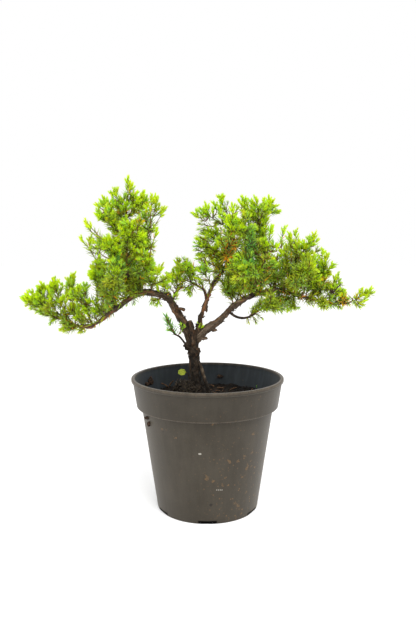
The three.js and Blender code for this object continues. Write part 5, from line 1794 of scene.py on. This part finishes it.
class SoilSettings(bpy.types.PropertyGroup):
    """Sizes and colours of the soil."""

    crumb_radius: length_setting("Crumb Radius", "Radius of a middling crumb", 0.8)
    crumb_density: FloatProperty(name="Crumb Density", description="Crumbs on a square metre",
                                 default=230000.0)
    dark: colour_setting("Dark", "Colour of damp soil", (0.002, 0.0017, 0.0016))
    brown: colour_setting("Brown", "Colour of its crumbs", (0.022, 0.014, 0.009))
    tan: colour_setting("Tan", "Colour of its dry fibres", (0.1, 0.06, 0.03))


class BONSAI_OT_soil(bpy.types.Operator):
    """Fills the pot with mounded soil and strews it with crumbs"""

    bl_idname = "bonsai.soil"
    bl_label = "Soil"

    def execute(self, context):
        own = context.scene.bonsai_soil
        sides, rings = 150, 44
        edge = inner_radius(SOIL_LEVEL) - 0.3
        points = [(0, 0, rough_soil_height(0, 0))]
        for ring in range(1, rings + 1):
            points += [(x, y, rough_soil_height(x, y))
                       for x, y, _ in circle(edge * ring / rings, 0, sides)]
        top = [1.0 if i <= sides * (rings - 3) else 0.0 for i in range(len(points))]
        for height, gap in ((COLLAR_FOOT[1], 0.4), (BODY_TOP[1], 0.4), (SOIL_FLOOR, 0.8)):
            points += circle(inner_radius(height) - gap, height, sides)
        points.append((0, 0, SOIL_FLOOR))
        top += [0.0] * (len(points) - len(top))
        faces = skin_faces(rings + 3, sides, is_turned=True)
        ground = mesh_object("ground", points, faces, traits={"top": top})
        ground.data.shade_smooth()
        sizes = {"Crumb Radius": own.crumb_radius, "Crumb Density": own.crumb_density,
                 "Seed": 4, "Material": make_soil_finish(own)}
        piece = grow(ground, make_crumb_tree(sizes), sizes, "potting_soil")
        adopt(piece, ["soil"])
        return {"FINISHED"}


class WeedSettings(bpy.types.PropertyGroup):
    """Colours of the weed."""

    leaf: colour_setting("Leaf", "Colour of the leaf", (0.26, 0.3, 0.03))


class BONSAI_OT_weed(bpy.types.Operator):
    """Makes the round-leaved weed at the foot of the trunk"""

    bl_idname = "bonsai.weed"
    bl_label = "Weed"

    def execute(self, context):
        own = context.scene.bonsai_weed
        look = Finish("weed_green")
        veins = look.grain(900.0)
        colour = look.mix(veins.ease(0.4, 0.7), tuple(own.leaf), (0.12, 0.16, 0.02))
        away = look.away_from(seen(WEED_LEAF_CENTRE))
        colour = look.mix(away.ease(0.0034, 0.0042), colour, (0.05, 0.028, 0.014))
        material = look.finish(colour, 0.6 + veins * 0.1, look.bump(veins, 0.0003),
                               {"Specular IOR Level": 0.1})
        shape = Shape()
        stalk = smooth_path([seen(p) for p in WEED_STALK])
        shape.add(*tube(stalk, [WEED_STALK_RADIUS, WEED_STALK_RADIUS * 0.8], 8, 0.8))
        centre = seen(WEED_LEAF_CENTRE)
        sides, rings = 36, 6
        for face_side in (1, -1):
            points, faces = [], []
            for ring in range(rings + 1):
                for i in range(sides):
                    angle = 2 * math.pi * i / sides
                    far = ring / rings * (1 + 0.05 * math.cos(7 * angle) * ring / rings)
                    x = WEED_LEAF_SIZE[0] * far * math.cos(angle)
                    y = WEED_LEAF_SIZE[1] * far * math.sin(angle)
                    thin = 1 if ring < rings else 0.1
                    z = 0.5 * far ** 2 + face_side * WEED_LEAF_THICKNESS / 2 * thin
                    z -= 0.12 * math.cos(5 * angle) ** 8 * far
                    points.append((x, y * math.cos(WEED_LEAF_TILT) - z * math.sin(WEED_LEAF_TILT),
                                   y * math.sin(WEED_LEAF_TILT) + z * math.cos(WEED_LEAF_TILT)))
            for ring in range(rings):
                for i in range(sides):
                    a, b = ring * sides + i, ring * sides + (i + 1) % sides
                    face = (a, b, b + sides, a + sides)
                    faces.append(face if face_side < 0 else face[::-1])
            shape.add([np.array(p) + centre for p in points], faces)
        rims = [len(shape.points) - sides, len(shape.points) - sides - sides * (rings + 1)]
        for i in range(sides):
            after = (i + 1) % sides
            shape.faces.append((rims[0] + i, rims[0] + after, rims[1] + after, rims[1] + i))
        piece = mesh_object("weed_leaf", shape.points, shape.faces)
        tidy_normals(piece.data)
        adopt(piece, ["weed"], material, smooth=50)
        return {"FINISHED"}


def twig_between(shape, start, end, radius, sag=0.0):
    """A short fallen twig or stalk."""
    start, end = np.array(start), np.array(end)
    middle = (start + end) / 2 + np.array([0, 0, sag])
    shape.add(*tube(bent_path(start, middle, end, steps=8), [radius, radius * 0.7], 7, 1.2,
                    bark_relief(start[0], radius * 0.3)))


def make_litter_finish(name, colours, scale=900.0):
    """Dry plant bits and dirt, blotched between two colours."""
    look = Finish(name)
    blotch = look.grain(scale, 3.0)
    colour = look.mix(blotch.ease(0.35, 0.65), colours[0], colours[1])
    return look.finish(colour, 0.85, look.bump(blotch, 0.0004), {"Specular IOR Level": 0.3})


def add_root_mound(shape, draw):
    """Matted roots and clods heaped against the left of the trunk."""
    middle = np.array([-17, -2, soil_height(-18, 0) + 2.2])
    for _ in range(200):
        way = unit(np.array([draw.gauss(0, 1), draw.gauss(-0.4, 1), abs(draw.gauss(0.2, 0.8))]))
        start = middle + way * MOUND_SIZE * draw.uniform(0.75, 1)
        along = unit(np.cross(way, [draw.gauss(0, 1), draw.gauss(0, 1), draw.gauss(0, 1)]))
        end = start + along * draw.uniform(2.5, 8) + np.array([0, 0, draw.uniform(-1.5, 0.8)])
        twig_between(shape, start, end, draw.choice((0.2, 0.3, 0.6)), draw.uniform(-0.8, 2))
    for i in range(16):
        way = unit(np.array([draw.gauss(0, 1), draw.gauss(0, 1), abs(draw.gauss(0, 0.6))]))
        radius = draw.uniform(1.6, 3.2)
        shape.add(*ball(middle + way * MOUND_SIZE * 0.7, [radius] * 3, 0.9, i))
    shape.add(*ball(middle, MOUND_SIZE * 0.8, 0.4, 3, 3))


class BONSAI_OT_litter(bpy.types.Operator):
    """Lays the fallen twigs, chips, sprouts, dead buds and lumps of dirt"""

    bl_idname = "bonsai.litter"
    bl_label = "Litter"

    def execute(self, context):
        draw = random.Random(23)
        lift = np.array([0, 0, 0.8])
        twigs, dirt, roots, sprouts = Shape(), Shape(), Shape(), Shape()
        add_root_mound(roots, draw)
        for start, end in (((-37.2, 112.6), (-31.2, 109)), ((-31, 110.4), (-27.4, 114.8))):
            ends = [seen((*place, 34)) for place in (start, end)]
            twig_between(twigs, *ends, 0.6, 1.2)
        for _ in range(22):
            angle, far = draw.uniform(0, 2 * math.pi), 50 * math.sqrt(draw.random())
            x, y = far * math.cos(angle), far * math.sin(angle)
            turn, half = draw.uniform(0, math.pi), draw.uniform(2, 6)
            way = np.array([math.cos(turn), math.sin(turn), 0]) * half
            ends = [np.array([x, y, 0]) + way * sign for sign in (-1, 1)]
            ends = [e * min(1, 52 / max(1, math.hypot(e[0], e[1]))) for e in ends]
            ends = [np.array([e[0], e[1], rough_soil_height(e[0], e[1]) + 0.8]) for e in ends]
            twig_between(twigs, *ends, draw.uniform(0.25, 0.5), draw.uniform(-0.3, 0.9))
        ring = on_soil(2.4, 108.4) + np.array([0, 0, 1.2])
        loop = Path([ring + 2.4 * np.array([math.cos(a), 0.4 * math.sin(a), 0.75 * math.sin(a)])
                     for a in np.linspace(0.2, 6.1, 25)])
        twigs.add(*tube(loop, [0.55, 0.5], 7, 0.8))
        for right, up, radii in ((9.6, 108.4, (3.2, 1.6, 0.6)), (-6, 108, (1.6, 1.2, 0.8))):
            twigs.add(*ball(on_soil(right, up) + lift, radii, 0.5, right))
        for right, up, radii in ((-47.2, 114.4, (2.2, 2.2, 3.4)), (-50, 112, (1.6, 1.8, 1.6)),
                                 (9.6, 118.4, (2.6, 1.4, 1.8))):
            place = on_far_wall(right, up)
            inward = unit(np.array([-place[0], -place[1], 0])) * 1.6
            dirt.add(*ball(place + inward, radii, 0.7, right))
        for right, up, radii in ((-48, 85, (2.6, 1.3, 1.3)), (-46.6, 80.4, (1.6, 1.1, 1.8))):
            place = on_pot_front(right, up)
            outward = unit(np.array([place[0], place[1], 0])) * 0.8
            dirt.add(*ball(place + outward, radii, 0.7, up))
        clump = seen((100, 185.6, -4))
        for i in range(26):
            away = np.array([draw.gauss(0, 1.9), draw.gauss(0, 1.9), draw.gauss(0, 1.6)])
            way = unit(np.array([draw.gauss(0, 1), draw.gauss(0, 1), draw.gauss(0.3, 1)]))
            twig_between(dirt, clump + away, clump + away + way * draw.uniform(2, 4), 0.4)
        twig_between(dirt, seen((100, 185, -3)), seen((106.2, 192, -4)), 0.5)
        root = on_soil(39.2, 108) + np.array([0, 0, 0.3])
        for i in range(3):
            turn = i * 2.1
            end = root + np.array([1.4 * math.cos(turn), 1.4 * math.sin(turn), 3.2])
            twig_between(sprouts, root, end, 0.35)
        pieces = (
            (twigs, "fallen_twigs", ((0.03, 0.017, 0.009), (0.13, 0.065, 0.03))),
            (dirt, "dirt_lumps", ((0.004, 0.003, 0.002), (0.07, 0.035, 0.018))),
            (roots, "root_mound", ((0.0015, 0.001, 0.0008), (0.037, 0.025, 0.013))),
        )
        for shape, name, colours in pieces:
            piece = mesh_object(name, shape.points, shape.faces)
            tidy_normals(piece.data)
            adopt(piece, [], make_litter_finish(name, colours), smooth=60)
        piece = mesh_object("seedling", sprouts.points, sprouts.faces)
        tidy_normals(piece.data)
        green = make_litter_finish("seedling_green", ((0.1, 0.3, 0.03), (0.2, 0.4, 0.05)))
        adopt(piece, [], green, smooth=60)
        return {"FINISHED"}


class StageSettings(bpy.types.PropertyGroup):
    """Light and floor."""

    sky: FloatProperty(name="Sky", description="Strength of the white surroundings", default=1.0)
    key: FloatProperty(name="Key", description="Power of the large light above", default=9.0,
                       unit="POWER")
    floor: colour_setting("Floor", "Colour of the floor", (0.93, 0.93, 0.93))


class BONSAI_OT_stage(bpy.types.Operator):
    """Sets the white floor, the soft light and the camera"""

    bl_idname = "bonsai.stage"
    bl_label = "Stage"

    def execute(self, context):
        own = context.scene.bonsai_stage
        scene = context.scene
        look = Finish("stage_white")
        haze = look.grain(3.0, 1.0)
        colour = look.mix(haze * 0.1, tuple(own.floor), (0.9, 0.9, 0.9))
        white = look.finish(colour, 0.9, constants={"Emission Color": (1, 1, 1, 1),
                                                    "Emission Strength": 0.12})
        floor = mesh_object("floor", [(-6000, -6000, 0), (6000, -6000, 0), (6000, 6000, 0),
                                      (-6000, 6000, 0)], [(0, 1, 2, 3)])
        floor.data.materials.append(white)

        scene.world = bpy.data.worlds.new("studio")
        scene.world.use_nodes = True
        sky = next(n for n in scene.world.node_tree.nodes if n.type == "BACKGROUND")
        sky.inputs["Color"].default_value = (1, 1, 1, 1)
        sky.inputs["Strength"].default_value = own.sky

        for name, place, size, power in (
            ("key_light", (0.25, -0.55, 0.95), 0.7, own.key),
            ("fill_light", (-0.75, -0.5, 0.55), 0.8, own.key * 0.35),
        ):
            lamp = bpy.data.lights.new(name, "AREA")
            lamp.energy, lamp.size = power, size
            holder = bpy.data.objects.new(name, lamp)
            holder.location = place
            aim = Vector((0, 0, 0.15)) - Vector(place)
            holder.rotation_euler = aim.to_track_quat("-Z", "Y").to_euler()
            scene.collection.objects.link(holder)

        lens = bpy.data.cameras.new("camera")
        lens.lens, lens.sensor_width = 36, 36
        camera = bpy.data.objects.new("camera", lens)
        camera.location = (PANE_SHIFT * MM, -EYE_BACK * MM, EYE_HEIGHT * MM)
        camera.rotation_euler = (math.pi / 2 - EYE_TILT, 0, 0)
        scene.collection.objects.link(camera)
        scene.camera = camera
        scene.view_settings.view_transform = "Standard"
        return {"FINISHED"}


class BONSAI_PT_panel(bpy.types.Panel):
    """Lists the steps that build the bonsai"""

    bl_idname = "BONSAI_PT_panel"
    bl_label = "Potted juniper"
    bl_space_type = "VIEW_3D"
    bl_region_type = "UI"
    bl_category = "Bonsai"

    def draw(self, context):
        for step in STEPS:
            self.layout.operator(step.bl_idname)
        for group in SETTINGS:
            own = getattr(context.scene, group)
            box = self.layout.box()
            for name in own.__annotations__:
                box.prop(own, name)


STEPS = [BONSAI_OT_pot, BONSAI_OT_soil, BONSAI_OT_wood, BONSAI_OT_foliage, BONSAI_OT_weed,
         BONSAI_OT_litter, BONSAI_OT_stage]
SETTINGS = {
    "bonsai_pot": PotSettings,
    "bonsai_soil": SoilSettings,
    "bonsai_wood": WoodSettings,
    "bonsai_foliage": FoliageSettings,
    "bonsai_weed": WeedSettings,
    "bonsai_stage": StageSettings,
}


def register():
    for kind in (*SETTINGS.values(), *STEPS, BONSAI_PT_panel):
        bpy.utils.register_class(kind)
    for name, kind in SETTINGS.items():
        setattr(bpy.types.Scene, name, PointerProperty(type=kind))


def unregister():
    for name in SETTINGS:
        delattr(bpy.types.Scene, name)
    for kind in (BONSAI_PT_panel, *reversed(STEPS), *reversed(SETTINGS.values())):
        bpy.utils.unregister_class(kind)


def main():
    register()
    bpy.ops.bonsai.pot()
    bpy.ops.bonsai.soil()
    bpy.ops.bonsai.wood()
    bpy.ops.bonsai.foliage()
    bpy.ops.bonsai.weed()
    bpy.ops.bonsai.litter()
    bpy.ops.bonsai.stage()


if __name__ == "__main__":
    main()
